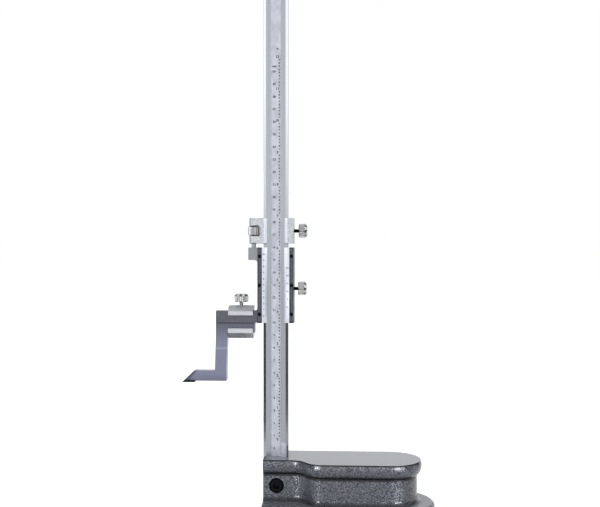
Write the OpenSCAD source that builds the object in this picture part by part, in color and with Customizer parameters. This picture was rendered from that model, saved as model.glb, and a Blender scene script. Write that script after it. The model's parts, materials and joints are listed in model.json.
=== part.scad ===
// Vernier height gauge: a cast base, a graduated beam, a vernier slider that carries a scriber,
// and a fine-adjust carriage that moves the slider by a nut on a threaded rod.
// Millimetres. X to the right, Y away from the viewer, Z up. The origin is on the base's
// resting plane, under the beam's centre.

/* [Setting] */
// Height of the scriber's measuring face above the surface plate
reading = 105.5; // [60:0.5:190]
// Gap between the slider and the fine-adjust carriage
fine_gap = 3.1; // [2:0.1:5]

/* [Base] */
// Height of the deck above the surface plate
base_h = 46.8; // [44:0.1:48]
// From the beam's centre to the far end of the deck
deck_reach = 114.5; // [100:0.5:130]
// Width of the deck at its wide end
deck_w = 48.7; // [45:0.1:56]
// From the beam's centre back to the deck's rear edge
deck_rear = 18.4; // [16:0.1:22]
// From the beam's centre forward to the deck's edge at the narrow neck
neck_front = 15.5; // [15:0.1:18]
// From the beam's centre to where the neck starts to widen
neck_reach = 13.5; // [12:0.5:18]
// Turn of the front edge between neck and wide end
sway_angle = 53.1301; // [45:0.0001:60]
// Radius of the deck's edge where it turns back to the wide end
sway_r = 14; // [12:0.5:16]
// How far the left end stays behind the beam's side
end_inset = 0.7; // [0:0.1:1.5]
// Radius of the rolled rim under the deck
bead_r = 10.1; // [8.5:0.1:11]
// How far the rolled rim bulges past the deck's edge
bead_bulge = 0.8; // [0.4:0.1:1.2]
// Depth of the wall behind the deck's edge
wall_in = 2.8; // [2.5:0.1:4]
// Height of the foot flange
foot_h = 14; // [11:0.5:15]
// How far the foot flange stands out past the deck's edge
foot_out = 10.8; // [7:0.1:11]
// Rounding of the foot flange's upper edge
foot_round = 2.8; // [1.5:0.1:4]
// Radius left in the foot flange where the neck widens
foot_sway_r = 1; // [0.5:0.1:3]
// Fillet between wall and foot flange
foot_fillet = 4.5; // [1:0.1:5]
// Chamfer round the resting face
rest_chamfer = 0.6; // [0.3:0.1:1.5]
// Depth of the relief in the resting face
relief_depth = 2.5; // [1:0.1:4]
// From the deck's edge in to the relief
relief_inset = 3; // [2:0.5:6]

/* [Beam] */
// Width of the beam across its scales
beam_w = 20; // [18:0.5:22]
// Thickness of the beam, front to back
beam_d = 8; // [7:0.5:9]
// Height of the beam's top above the surface plate
beam_top = 445; // [400:5:520]
// Height of the socket's floor in the base
beam_seat = 8; // [6:0.5:12]
// Width of the long chamfers on the beam's front
beam_bevel_w = 2.2; // [1:0.1:2.6]
// Depth of the long chamfers on the beam's front
beam_bevel_d = 1.2; // [0.6:0.1:1.6]
// Chamfer of the beam's other edges
beam_edge = 0.5; // [0.2:0.1:1]
// Width of the recessed band that carries the scales
band_w = 7.8; // [6:0.1:9]
// Depth of the recessed band
band_depth = 0.3; // [0.2:0.05:0.5]

/* [Beam clamp screw] */
// Thread diameter
bolt_d = 6; // [5:0.5:7]
// Head diameter
bolt_head_d = 10.8; // [9:0.1:11.2]
// Head height
bolt_head_h = 6; // [5:0.5:6.5]
// Socket width across flats
bolt_hex = 5; // [4:0.5:6]
// Counterbore diameter
bolt_counterbore_d = 12; // [11.4:0.1:13]
// Height of the screw above the surface plate
bolt_z = 26; // [25.5:0.5:27.5]
// From the beam's centre to the screw's axis
bolt_x = 1.2; // [0:0.1:2]

/* [Slider] */
// Width of the slider
slider_w = 29; // [28:0.5:32]
// Height of the slider
slider_h = 60; // [56:1:66]
// Gap between the slider and the deck when the gauge reads zero
zero_gap = 1; // [0.5:0.1:6]
// Thickness of the wall behind the beam
slider_back_t = 5; // [4:0.5:7]
// Thickness of the gib strip
gib_t = 1; // [0.8:0.1:1.2]
// Width of the gib strip
gib_w = 6; // [5:0.1:6]
// How much shorter than the slider the gib strip is
gib_short = 3; // [2:0.5:6]
// From the slider's middle to each gib adjusting screw
gib_screw_step = 18; // [15:0.5:20]
// From the slider's lower end to its lock screw
slider_lock_up = 27.2; // [24:0.1:30]

/* [Vernier plates] */
// Width of a vernier plate
plate_w = 7.7; // [6.5:0.1:8.2]
// Thickness of a vernier plate under its strip
plate_t = 1.8; // [1.4:0.1:2.2]
// Thickness of a vernier plate at its reading edge
plate_tip_t = 0.5; // [0.3:0.1:0.8]
// Width of a retaining strip
strip_w = 3.6; // [3.4:0.1:4.4]
// Thickness of a retaining strip
strip_t = 1.6; // [1.2:0.1:2]
// Shank diameter of a vernier screw
vernier_screw_d = 1.6; // [1.4:0.1:1.8]
// Head diameter of a vernier screw
vernier_head_d = 2.8; // [2.5:0.1:3]
// Length of a vernier screw below its head
vernier_screw_l = 5.6; // [5:0.1:5.8]
// From the slider's middle to its outer vernier screws
vernier_screw_step = 23; // [22:0.1:25]

/* [Arm] */
// How far the arm stands out from the slider
arm_l = 33.5; // [31:0.1:37]
// Height of the arm
arm_h = 9.4; // [8:0.1:11]
// Depth of the arm, front to back
arm_d = 9; // [8:0.1:10]
// Fillet between arm and slider
arm_fillet = 3; // [1:0.1:3.2]

/* [Scriber] */
// Height of the shank that lies under the arm
shank_h = 8.1; // [7:0.1:9]
// Gap between the shank's end and the slider's side
shank_gap = 2.4; // [1:0.1:4]
// Width of the upright leg
leg_w = 9.2; // [8:0.1:11]
// How far the leg leans out on its way down
leg_lean = 0.8; // [0:0.1:1.5]
// Fillet between the leg and the shank
shank_fillet = 0.6; // [0.3:0.1:1]
// Height of the toe
toe_h = 8; // [7:0.1:10]
// From the leg's outer face to the tip
toe_l = 26.6; // [20:0.1:32]
// Length of the tip's slope
tip_slope = 9.6; // [8:0.1:12]
// Width left at the tip
tip_w = 3.6; // [2:0.1:6]
// Length of the carbide tip
carbide_l = 10.4; // [8:0.1:13]
// Thickness of the carbide tip
carbide_t = 2; // [1.6:0.1:2.6]
// How far the carbide stands below the toe
carbide_proud = 1.2; // [0.4:0.1:1.4]
// Fillet between the leg and the toe
toe_fillet = 1.2; // [0.5:0.1:2]

/* [Scriber clamp] */
// Length of the clamp along the arm
clamp_l = 20; // [18:0.1:20.4]
// Gap between the clamp and the slider's side
clamp_gap = 3.5; // [3.4:0.1:4.2]
// Gap between the clamp and the fillet of the scriber's leg
leg_gap = 0.2; // [0.1:0.1:1]
// Thickness of the clamp's top
clamp_top_t = 3.8; // [3.4:0.1:5]
// Thickness of the clamp's floor
clamp_floor_t = 4.3; // [3.4:0.1:5]
// Thickness of the clamp's back
clamp_back_t = 3; // [2.5:0.1:4]
// Thickness of the clamp's front lips
clamp_lip_t = 2.4; // [2:0.1:3]
// Height of the front lips
clamp_lip_h = 3.7; // [3:0.1:4]
// Chamfer of the clamp's upper and lower front edges
clamp_bevel = 4.4; // [2:0.1:4.6]
// Room above the arm when the clamp is tight
clamp_slack = 0.4; // [0.3:0.1:0.8]
// Diameter of the clamp screw
clamp_stem_d = 3.3; // [3:0.1:4]
// Length of clamp screw that shows below its knob
clamp_stem_show = 2.7; // [2:0.1:5]

/* [Thumb knobs] */
// Diameter of a thumb knob
knob_d = 11.4; // [10.5:0.1:14]
// Height of a thumb knob
knob_h = 6.7; // [5.5:0.1:9]
// Rounding of a thumb knob's outer edge, turned in two cones
knob_round = 1.9; // [0.8:0.1:2.4]
// Depth of the bore that takes the screw
knob_bore = 3.7; // [3:0.1:5]
// Knurls round a knob
knob_knurls = 26; // [20:1:44]
// Diameter of the lock screws
lock_stem_d = 3; // [2.5:0.1:3.3]
// Length of the slider's lock screw that shows beside its knob
slider_lock_show = 3.3; // [2:0.1:6]
// Length of the carriage's lock screw that shows beside its knob
carriage_lock_show = 3.8; // [2:0.1:6]
// Length of the brass pad ahead of each thumb screw
pad_l = 1.3; // [1:0.1:1.6]

/* [Fine adjustment] */
// Height of the carriage
carriage_h = 20.3; // [18:0.1:24]
// Depth of the carriage's front lips
carriage_lip_t = 2.4; // [2:0.1:3]
// Width of the opening between the front lips
carriage_mouth = 14; // [12:0.1:15]
// Thickness of the carriage behind the beam
carriage_back_t = 4.5; // [3.5:0.1:6]
// From the beam's side to the carriage's left face
carriage_wing = 10.8; // [10.6:0.1:12]
// Diameter of the threaded rod
rod_d = 4; // [3.5:0.1:4.4]
// From the beam's side to the rod's axis
rod_reach = 8.1; // [7.8:0.1:8.3]
// Diameter of the knurled nut
nut_d = 9.4; // [8.4:0.1:9.6]
// Height of the knurled nut
nut_h = 7.8; // [7:0.1:9]
// Chamfer of the knurled nut
nut_edge = 0.9; // [0.5:0.1:1.2]
// Knurls round the nut
nut_knurls = 30; // [24:1:36]
// Room above and below the nut
nut_play = 0.3; // [0.1:0.1:0.5]
// Room beside the nut in its window
window_gap = 0.9; // [0.8:0.1:1.1]
// Radius of the window's inner corners
window_round = 2.2; // [1.5:0.1:2.4]
// Height of the rod's bracket
bracket_h = 10; // [8:0.1:12]
// Depth of the rod's bracket, front to back
bracket_d = 12; // [11.5:0.1:12.8]
// Width of the rod's bracket
bracket_w = 7.5; // [6.2:0.1:8]
// Diameter of the bracket screws
bracket_screw_d = 2; // [1.6:0.1:2.2]
// Head diameter of the bracket screws
bracket_head_d = 3.6; // [3:0.1:3.8]
// Diameter of the pin that holds the rod
rod_pin_d = 1.5; // [1.2:0.1:1.6]
// How far the rod's top stays below the carriage's top
rod_top_down = 1.5; // [1:0.1:2]

/* [Fits] */
// Gap on each side where a piece slides on the beam
slide_gap = 0.05; // [0.05:0.01:0.08]
// Gap between the vernier plates and the beam
plate_gap = 0.1; // [0.06:0.02:0.16]
// Radial gap round a screw or pin that turns
turn_gap = 0.05; // [0.04:0.01:0.08]
// Radial gap round the rod where the carriage passes it
rod_gap = 0.15; // [0.1:0.05:0.25]
// Gap between faces that are only pressed together
seat_gap = 0.02; // [0.01:0.01:0.04]

/* [Hidden] */
$fn = 72;
EPS = 0.1;
BEYOND = 100;

CAST_IRON = "#6b6e75";
STEEL = "#b9bfc7";
DARK_STEEL = "#62646c";
BLACK = "#1f2023";
CHROME = "#d5d9df";
SATIN = "#c9ced4";
BRASS = "#b89a5a";
BLUE_STEEL = "#80849a";
CARBIDE = "#45474d";
BARE_STEEL = "#96999c";

// Beam and slider levels
beam_side = beam_w / 2;
beam_face = beam_d / 2;
plate_back = beam_face + plate_gap;
slider_side = slider_w / 2;
slider_z = reading + base_h + zero_gap;
slider_top = slider_z + slider_h;
slider_mid = slider_z + slider_h / 2;
slider_back = beam_face + slide_gap + slider_back_t;
gib_x = beam_side + slide_gap;
gib_seat_x = gib_x + gib_t + slide_gap;
plate_step = slider_side - strip_w;
strip_front = plate_back + plate_t + strip_t;
strip_mid = slider_side - strip_w / 2;

// Arm, scriber and clamp levels
arm_y = arm_d / 2 - plate_back;
arm_top = slider_z + arm_h;
shank_top = slider_z - seat_gap;
shank_z = shank_top - shank_h;
toe_z = reading + carbide_proud;
toe_top = toe_z + toe_h;
clamp_x0 = -slider_side - clamp_gap - clamp_l;
clamp_x1 = -slider_side - clamp_gap;
leg_x = clamp_x0 - leg_gap - shank_fillet - leg_w;
toe_x = leg_x - leg_lean;
tip_x = toe_x - toe_l;
heel_x = toe_x + leg_w;
clamp_mid = (clamp_x0 + clamp_x1) / 2;
clamp_roof = arm_top + clamp_slack;
clamp_top = clamp_roof + clamp_top_t;
clamp_floor = shank_z - seat_gap;
clamp_z = clamp_floor - clamp_floor_t;
clamp_in_y = arm_d / 2 + plate_gap;
clamp_front = clamp_in_y + clamp_lip_t;

// Carriage and fine-adjust levels
carriage_z = slider_top + fine_gap;
carriage_top = carriage_z + carriage_h;
carriage_mid = carriage_z + carriage_h / 2;
carriage_left = beam_side + carriage_wing;
carriage_front = plate_back + carriage_lip_t;
carriage_back = beam_face + slide_gap + carriage_back_t;
carriage_slot = beam_side + slide_gap + plate_gap;
rod_x = -beam_side - rod_reach;
rod_top = carriage_top - rod_top_down;
window_x = rod_x + nut_d / 2 + window_gap;
bracket_z = slider_top - bracket_h;
bracket_y = bracket_d - plate_back;
bracket_screw_y = (rod_d / 2 + bracket_y) / 2;
bracket_screw_step = bracket_h / 4;
rod_bottom = bracket_z + rod_pin_d / 2;
rod_pin_z = bracket_z + bracket_h / 3;

// Base levels and the places where its edge turns
base_left = end_inset - beam_side;
end_r = deck_w / 2;
end_x = deck_reach - end_r;
end_y = deck_rear - end_r;
wide_front = deck_w - deck_rear;
sway_in_r = foot_out + foot_sway_r;
sway_run = (wide_front - neck_front - (sway_in_r + sway_r) * (1 - cos(sway_angle))) / sin(sway_angle);
wide_reach = neck_reach + (sway_in_r + sway_r) * sin(sway_angle) + sway_run * cos(sway_angle);
sway_in_c = [neck_reach, -neck_front - sway_in_r];
sway_c = [wide_reach, -wide_front + sway_r];
bead_u = bead_bulge - bead_r;
bead_z = base_h - sqrt(pow(bead_r, 2) - pow(bead_u, 2));
rim_z = bead_z - sqrt(pow(bead_r, 2) - pow(bead_u + wall_in, 2));
sweep_in = wall_in + 6;
core_in = wall_in + 3;
neck_wall = neck_front - wall_in;
bolt_seat = neck_wall - bolt_head_h;

// Box between two corners given as ranges along each axis
module span(x, y, z)
    translate([x[0], y[0], z[0]])
        cube([x[1] - x[0], y[1] - y[0], z[1] - z[0]]);

// Round bar along X, Y or Z from one station to another
module bar_x(d, x0, x1) translate([x0, 0, 0]) rotate([0, 90, 0]) cylinder(d = d, h = x1 - x0);
module bar_y(d, y0, y1) translate([0, y0, 0]) rotate([-90, 0, 0]) cylinder(d = d, h = y1 - y0);
module bar_z(d, z0, z1) translate([0, 0, z0]) cylinder(d = d, h = z1 - z0);

// Flat shape in X and Z, as deep as y0 to y1; flat shape in Y and Z, as long as x0 to x1
module front_shape(y0, y1) translate([0, y1, 0]) rotate([90, 0, 0]) linear_extrude(y1 - y0) children();
module side_shape(x0, x1) translate([x0, 0, 0]) rotate([90, 0, 90]) linear_extrude(x1 - x0) children();

// Fillet in the corner at the origin, on the side of +X and +Y
module fillet(r)
    difference() {
        square(r);
        translate([r, r]) circle(r);
    }

// What a rounding takes off a corner at the origin, on the side of +X and +Y
module rounding(r)
    difference() {
        translate([-EPS, -EPS]) square(r + EPS);
        translate([r, r]) circle(r);
    }

// Rectangle with each corner cut by its own chamfer, from the lower left one round
module chamfered(x, y, c)
    polygon([
        [x[0] + c[0], y[0]], [x[1] - c[1], y[0]], [x[1], y[0] + c[1]], [x[1], y[1] - c[2]],
        [x[1] - c[2], y[1]], [x[0] + c[3], y[1]], [x[0], y[1] - c[3]], [x[0], y[0] + c[0]],
    ]);

// Regular hexagon by its width across flats
module hexagon(flats) circle(d = flats / cos(30), $fn = 6);

// Section of the base's edge: outward from the deck's edge in X, height in Y
module edge_section() {
    translate([-sweep_in, 0]) square([sweep_in - wall_in, base_h]);
    intersection() {
        translate([-sweep_in, rim_z]) square([sweep_in + bead_bulge + EPS, base_h - rim_z]);
        translate([bead_u, bead_z]) circle(bead_r);
    }
    difference() {
        translate([-sweep_in, 0]) square([sweep_in + foot_out, foot_h]);
        translate([foot_out, foot_h]) rotate(180) rounding(foot_round);
        translate([foot_out, 0]) rotate(45) square(rest_chamfer * sqrt(2), center = true);
    }
    translate([-wall_in, foot_h]) fillet(foot_fillet);
}

// Straight stretch of the base's edge, from a point on the deck's edge, facing an angle
module edge_run(from, facing, length)
    translate(from) rotate([90, 0, facing]) linear_extrude(length) edge_section();

// Bend of the base's edge round a centre, outward or, if hollow, inward
module edge_bend(center, r, start, turn, hollow = false)
    translate(center)
        intersection() {
            rotate_extrude() translate([r, 0]) mirror([hollow ? 1 : 0, 0]) edge_section();
            translate([0, 0, -EPS]) linear_extrude(base_h + 2 * EPS)
                polygon([
                    [0, 0], polar([0, 0], BEYOND, start), polar([0, 0], 2 * BEYOND, start + turn / 2),
                    polar([0, 0], BEYOND, start + turn),
                ]);
        }

function polar(center, r, a) = center + r * [cos(a), sin(a)];

// The deck's outline, moved inwards
module deck_outline(inset) {
    polygon([
        [base_left, deck_rear - inset], [end_x, deck_rear - inset],
        [end_x, inset - wide_front], [wide_reach, inset - wide_front],
        polar(sway_c, sway_r - inset, -90 - sway_angle),
        polar(sway_in_c, sway_in_r + inset, 90 - sway_angle),
        [neck_reach, inset - neck_front], [base_left, inset - neck_front],
    ]);
    translate([end_x, end_y]) circle(end_r - inset);
}

// Cast base: swept edge, solid core, socket for the beam and a relieved resting face
module base() color(CAST_IRON)
    difference() {
        union() {
            linear_extrude(base_h) deck_outline(core_in);
            edge_run([base_left, deck_rear], 90, end_x - base_left);
            edge_bend([end_x, end_y], end_r, -90, 180);
            edge_run([end_x, -wide_front], -90, end_x - wide_reach);
            edge_bend(sway_c, sway_r, -90 - sway_angle, sway_angle);
            edge_run(polar(sway_c, sway_r, -90 - sway_angle), -90 - sway_angle, sway_run);
            edge_bend(sway_in_c, sway_in_r, 90 - sway_angle, sway_angle, hollow = true);
            edge_run([neck_reach, -neck_front], -90, neck_reach - base_left);
        }
        span([base_left - EPS, beam_side + seat_gap], [-beam_face - seat_gap, beam_face + seat_gap],
            [beam_seat, base_h + EPS]);
        translate([bolt_x, 0, bolt_z]) {
            bar_y(bolt_counterbore_d, -neck_front, -bolt_seat);
            bar_y(bolt_d + 2 * rod_gap, -neck_front, 0);
        }
        translate([0, 0, -EPS]) linear_extrude(relief_depth + EPS)
            intersection() {
                deck_outline(relief_inset);
                translate([beam_w, -deck_w]) square([deck_reach, 2 * deck_w]);
            }
    }

// Graduated beam with long front chamfers and a recessed band for the scales
module beam() color(STEEL)
    difference() {
        intersection() {
            translate([0, 0, beam_seat]) linear_extrude(beam_top - beam_seat)
                polygon([
                    [-beam_side + beam_bevel_w, -beam_face], [beam_side - beam_bevel_w, -beam_face],
                    [beam_side, -beam_face + beam_bevel_d], [beam_side, beam_face - beam_edge],
                    [beam_side - beam_edge, beam_face], [beam_edge - beam_side, beam_face],
                    [-beam_side, beam_face - beam_edge], [-beam_side, -beam_face + beam_bevel_d],
                ]);
            front_shape(-beam_d, beam_d)
                chamfered([-beam_side, beam_side], [beam_seat, beam_top],
                    [beam_edge, beam_edge, 2 * beam_edge, 2 * beam_edge]);
            side_shape(-beam_w, beam_w)
                chamfered([-beam_face, beam_face], [beam_seat, beam_top],
                    [beam_edge, beam_edge, 2 * beam_edge, 2 * beam_edge]);
        }
        span([-band_w / 2, band_w / 2], [-beam_face - EPS, -beam_face + band_depth], [0, beam_top + EPS]);
        translate([bolt_x, 0, bolt_z]) bar_y(bolt_d + 2 * seat_gap, -beam_d, beam_d);
    }

// Socket cap screw that holds the beam in the base
module beam_clamp_screw() color(BLACK) translate([bolt_x, 0, bolt_z])
    difference() {
        union() {
            bar_y(bolt_d, -bolt_seat - EPS, beam_face - beam_edge);
            intersection() {
                bar_y(bolt_head_d, -neck_wall, -bolt_seat);
                translate([0, -neck_wall, 0]) rotate([-90, 0, 0]) rotate_extrude()
                    chamfered([0, bolt_head_d / 2], [0, bolt_head_h], [0, beam_edge, 0, 0]);
            }
        }
        translate([0, -neck_wall + bolt_head_h / 2, 0]) rotate([90, 0, 0])
            linear_extrude(bolt_head_h) hexagon(bolt_hex);
    }

// Slider: channel behind the beam, with the arm for the scriber
module slider_body() color(DARK_STEEL)
    difference() {
        union() {
            translate([0, 0, slider_z]) linear_extrude(slider_h)
                chamfered([-slider_side, slider_side], [-plate_back, slider_back], [0, 0, 1, 1]);
            front_shape(-plate_back, arm_d - plate_back) {
                translate([-slider_side - arm_l, slider_z])
                    square([arm_l + slider_side - gib_seat_x, arm_h]);
                translate([-slider_side, arm_top]) mirror([1, 0]) fillet(arm_fillet);
            }
        }
        span([-gib_x, gib_seat_x], [-slider_w, beam_face + slide_gap], [slider_z - EPS, slider_top + EPS]);
        for (side = [-1, 1], step = [-1, 0, 1])
            translate([side * strip_mid, 0, slider_mid + step * vernier_screw_step])
                bar_y(vernier_screw_d + 2 * seat_gap, -slider_w, vernier_screw_l - strip_front + seat_gap);
        for (step = [-1, 1])
            translate([0, 0, slider_mid + step * gib_screw_step])
                bar_x(lock_stem_d + 2 * seat_gap, beam_side, slider_w);
        translate([0, 0, slider_z + slider_lock_up])
            bar_x(lock_stem_d + 2 * turn_gap, beam_side, slider_w);
        for (step = [-1, 1])
            translate([0, bracket_screw_y, bracket_z + bracket_h / 2 + step * bracket_screw_step])
                bar_x(bracket_screw_d + 2 * seat_gap, -slider_w, -beam_side);
    }

// Gib strip between slider and beam, pricked for the points of its screws
module gib_strip() color(BRASS)
    difference() {
        span([gib_x, gib_x + gib_t], [-gib_w / 2, gib_w / 2],
            [slider_z + gib_short / 2, slider_top - gib_short / 2]);
        for (step = [-1, 1])
            translate([0, 0, slider_mid + step * gib_screw_step])
                bar_x(lock_stem_d / 2 + 2 * turn_gap, gib_x + gib_t / 2, slider_w);
    }

// Dog-point screws that set the gib strip
module gib_adjusting_screws() color(BLACK)
    for (step = [-1, 1])
        translate([0, 0, slider_mid + step * gib_screw_step])
            difference() {
                union() {
                    bar_x(lock_stem_d, gib_seat_x, slider_side - plate_gap);
                    bar_x(lock_stem_d / 2, gib_x + gib_t / 2 + seat_gap, slider_side - 1);
                }
                translate([slider_side - 1.2, 0, 0]) rotate([90, 0, 90])
                    linear_extrude(2) hexagon(lock_stem_d / 2);
            }

// Holes for the vernier screws on one side
module vernier_screw_holes(side)
    for (step = [-1, 0, 1])
        translate([side * strip_mid, 0, slider_mid + step * vernier_screw_step])
            bar_y(vernier_screw_d + 2 * turn_gap, -slider_w, 0);

// Vernier plate, thinned towards its reading edge
module vernier_plate(side) color(CHROME)
    difference() {
        translate([0, 0, slider_z]) linear_extrude(slider_h) mirror([side < 0 ? 1 : 0, 0])
            polygon([
                [slider_side, -plate_back], [slider_side, -plate_back - plate_t],
                [plate_step, -plate_back - plate_t],
                [slider_side - plate_w, -plate_back - plate_tip_t], [slider_side - plate_w, -plate_back],
            ]);
        vernier_screw_holes(side);
    }

// Strip that holds a vernier plate on the slider
module retaining_strip(side) color(DARK_STEEL)
    difference() {
        translate([0, 0, slider_z]) linear_extrude(slider_h) mirror([side < 0 ? 1 : 0, 0])
            chamfered([plate_step, slider_side], [-strip_front, -plate_back - plate_t], [0.4, 0.4, 0, 0]);
        vernier_screw_holes(side);
    }

// Slotted screws through strip and plate on one side
module vernier_screws(side) color(BLACK)
    for (step = [-1, 0, 1])
        translate([side * strip_mid, -strip_front, slider_mid + step * vernier_screw_step])
            difference() {
                union() {
                    bar_y(vernier_screw_d, -EPS, vernier_screw_l);
                    rotate([90, 0, 0]) rotate_extrude()
                        chamfered([0, vernier_head_d / 2], [0, vernier_screw_d / 2], [0, 0, 0.2, 0]);
                }
                span([-vernier_head_d, vernier_head_d], [-vernier_screw_d, -vernier_screw_d / 4],
                    [-0.2, 0.2]);
            }

module left_vernier_plate() vernier_plate(-1);
module right_vernier_plate() vernier_plate(1);
module left_retaining_strip() retaining_strip(-1);
module right_retaining_strip() retaining_strip(1);
module left_vernier_screws() vernier_screws(-1);
module right_vernier_screws() vernier_screws(1);

// Places of the two screws that hold the rod's bracket
module at_bracket_screws()
    for (step = [-1, 1])
        translate([-slider_side, bracket_screw_y, bracket_z + bracket_h / 2 + step * bracket_screw_step])
            children();

// Bracket on the slider's side that holds the threaded rod
module rod_bracket() color(BARE_STEEL)
    difference() {
        front_shape(-plate_back, bracket_y) {
            chamfered([-slider_side - bracket_w, -slider_side], [bracket_z, slider_top],
                [beam_edge, 0, 0, beam_edge]);
            translate([-slider_side, bracket_z]) rotate(180) fillet(arm_fillet);
        }
        translate([rod_x, 0, 0]) bar_z(rod_d + 2 * seat_gap, rod_bottom, slider_top + EPS);
        translate([0, 0, rod_pin_z]) bar_x(rod_pin_d + 2 * seat_gap, -slider_w, -slider_side + EPS);
        at_bracket_screws() {
            bar_x(bracket_screw_d + 2 * turn_gap, -slider_w, EPS);
            bar_x(bracket_head_d + 2 * turn_gap, -slider_w, -bracket_w + bracket_screw_d);
        }
    }

// Socket screws of the rod's bracket
module bracket_screws() color(BLACK)
    at_bracket_screws()
        difference() {
            union() {
                bar_x(bracket_screw_d, -bracket_w, slider_side - beam_side - 2 * slide_gap - 0.5);
                bar_x(bracket_head_d, -bracket_w + seat_gap, -bracket_w + bracket_screw_d);
            }
            translate([-bracket_w - EPS, 0, 0]) rotate([90, 0, 90])
                linear_extrude(bracket_screw_d / 2 + EPS) hexagon(bracket_screw_d * 0.75);
        }

// Threaded rod of the fine adjustment
module fine_adjust_rod() color(STEEL)
    difference() {
        translate([rod_x, 0, rod_bottom]) rotate_extrude()
            chamfered([0, rod_d / 2], [0, rod_top - rod_bottom], [0, beam_edge, beam_edge, 0]);
        translate([0, 0, rod_pin_z]) bar_x(rod_pin_d + 2 * seat_gap, -slider_w, 0);
    }

// Cross pin that holds the rod in its bracket
module rod_pin() color(STEEL)
    translate([0, 0, rod_pin_z])
        bar_x(rod_pin_d, -slider_side - bracket_w + plate_gap, -slider_side - seat_gap);

// Straight knurls round a turned piece, whose half section is given
module knurled(d, h, count)
    intersection() {
        linear_extrude(h)
            difference() {
                circle(d = d);
                for (i = [0 : count - 1])
                    rotate(i * 360 / count) translate([d / 2, 0]) rotate(45)
                        square(PI * d / count / 2.2, center = true);
            }
        rotate_extrude() children();
    }

// Knurled knob of a thumb screw, standing on the side of its screw
module thumb_knob(stem_d)
    difference() {
        knurled(knob_d, knob_h, knob_knurls)
            polygon([
                [0, 0], [knob_d / 2 - beam_edge, 0], [knob_d / 2, beam_edge], [knob_d / 2, knob_h - knob_round],
                [knob_d / 2 - knob_turn, knob_h - knob_turn], [knob_d / 2 - knob_round, knob_h], [0, knob_h],
            ]);
        translate([0, 0, -EPS]) cylinder(d = stem_d + 2 * seat_gap, h = knob_bore + EPS);
    }

// Threaded stem of a thumb screw, with a turned point
module thumb_stem(d, l)
    rotate_extrude() chamfered([0, d / 2], [0, l], [0, beam_edge, 0, 0]);

// Brass pad ahead of a thumb screw
module thumb_pad(d)
    rotate_extrude() chamfered([0, d / 2 - turn_gap], [0, pad_l], [0, 0.2, 0.2, 0]);

// Stations of the three thumb screws, with +Z pointing to the knob and the pad at the origin
slider_lock_in = gib_x + gib_t + seat_gap;
carriage_lock_in = beam_side + seat_gap + slide_gap;
clamp_screw_in = arm_top + seat_gap;
slider_lock_out = slider_side + slider_lock_show - slider_lock_in;
carriage_lock_out = slider_side + carriage_lock_show - carriage_lock_in;
clamp_screw_out = clamp_top + clamp_stem_show - clamp_screw_in;
stem_start = pad_l + seat_gap;
stem_seat = knob_bore - seat_gap;
knob_turn = knob_round * (1 - cos(45));

module at_slider_lock()
    translate([slider_lock_in, 0, slider_z + slider_lock_up]) rotate([0, 90, 0]) children();
module at_carriage_lock()
    translate([carriage_lock_in, 0, carriage_mid]) rotate([0, 90, 0]) children();
module at_clamp_screw()
    translate([clamp_mid, arm_y, clamp_screw_in]) children();

module slider_clamp_pad() color(BRASS) at_slider_lock() thumb_pad(lock_stem_d);
module slider_lock_stem() color(BLACK) at_slider_lock() translate([0, 0, stem_start])
    thumb_stem(lock_stem_d, slider_lock_out + stem_seat - stem_start);
module slider_lock_knob() color(CHROME) at_slider_lock() translate([0, 0, slider_lock_out])
    thumb_knob(lock_stem_d);

module carriage_clamp_pad() color(BRASS) at_carriage_lock() thumb_pad(lock_stem_d);
module carriage_lock_stem() color(BLACK) at_carriage_lock() translate([0, 0, stem_start])
    thumb_stem(lock_stem_d, carriage_lock_out + stem_seat - stem_start);
module carriage_lock_knob() color(CHROME) at_carriage_lock() translate([0, 0, carriage_lock_out])
    thumb_knob(lock_stem_d);

module clamp_screw_pad() color(BRASS) at_clamp_screw() thumb_pad(clamp_stem_d);
module clamp_screw_stem() color(STEEL) at_clamp_screw() translate([0, 0, stem_start])
    thumb_stem(clamp_stem_d, clamp_screw_out + stem_seat - stem_start);
module clamp_screw_knob() color(CHROME) at_clamp_screw() translate([0, 0, clamp_screw_out])
    thumb_knob(clamp_stem_d);

// Carriage that clamps on the beam and traps the knurled nut in its window
module carriage_body() color(SATIN)
    difference() {
        translate([0, 0, carriage_z]) linear_extrude(carriage_h)
            difference() {
                chamfered([-carriage_left, slider_side], [-carriage_front, carriage_back],
                    [beam_edge, beam_edge, 2 * beam_edge, 2 * beam_edge]);
                translate([-carriage_slot, -plate_back])
                    square([2 * carriage_slot, plate_back + beam_face + slide_gap]);
                polygon([
                    [-carriage_mouth / 2, -plate_back + EPS], [carriage_mouth / 2, -plate_back + EPS],
                    [carriage_mouth / 2, -plate_back],
                    [carriage_mouth / 2 + carriage_lip_t + EPS, -carriage_front - EPS],
                    [-carriage_mouth / 2 - carriage_lip_t - EPS, -carriage_front - EPS],
                    [-carriage_mouth / 2, -plate_back],
                ]);
            }
        front_shape(-carriage_front - EPS, carriage_back + EPS)
            difference() {
                translate([-carriage_left - EPS, carriage_mid - nut_h / 2 - nut_play])
                    square([carriage_left + EPS + window_x, nut_h + 2 * nut_play]);
                translate([window_x, carriage_mid - nut_h / 2 - nut_play]) rotate(90) fillet(window_round);
                translate([window_x, carriage_mid + nut_h / 2 + nut_play]) rotate(180) fillet(window_round);
            }
        translate([rod_x, 0, 0]) bar_z(rod_d + 2 * rod_gap, carriage_z - EPS, carriage_top + EPS);
        translate([0, 0, carriage_mid]) bar_x(lock_stem_d + 2 * turn_gap, 0, slider_w);
    }

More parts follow.
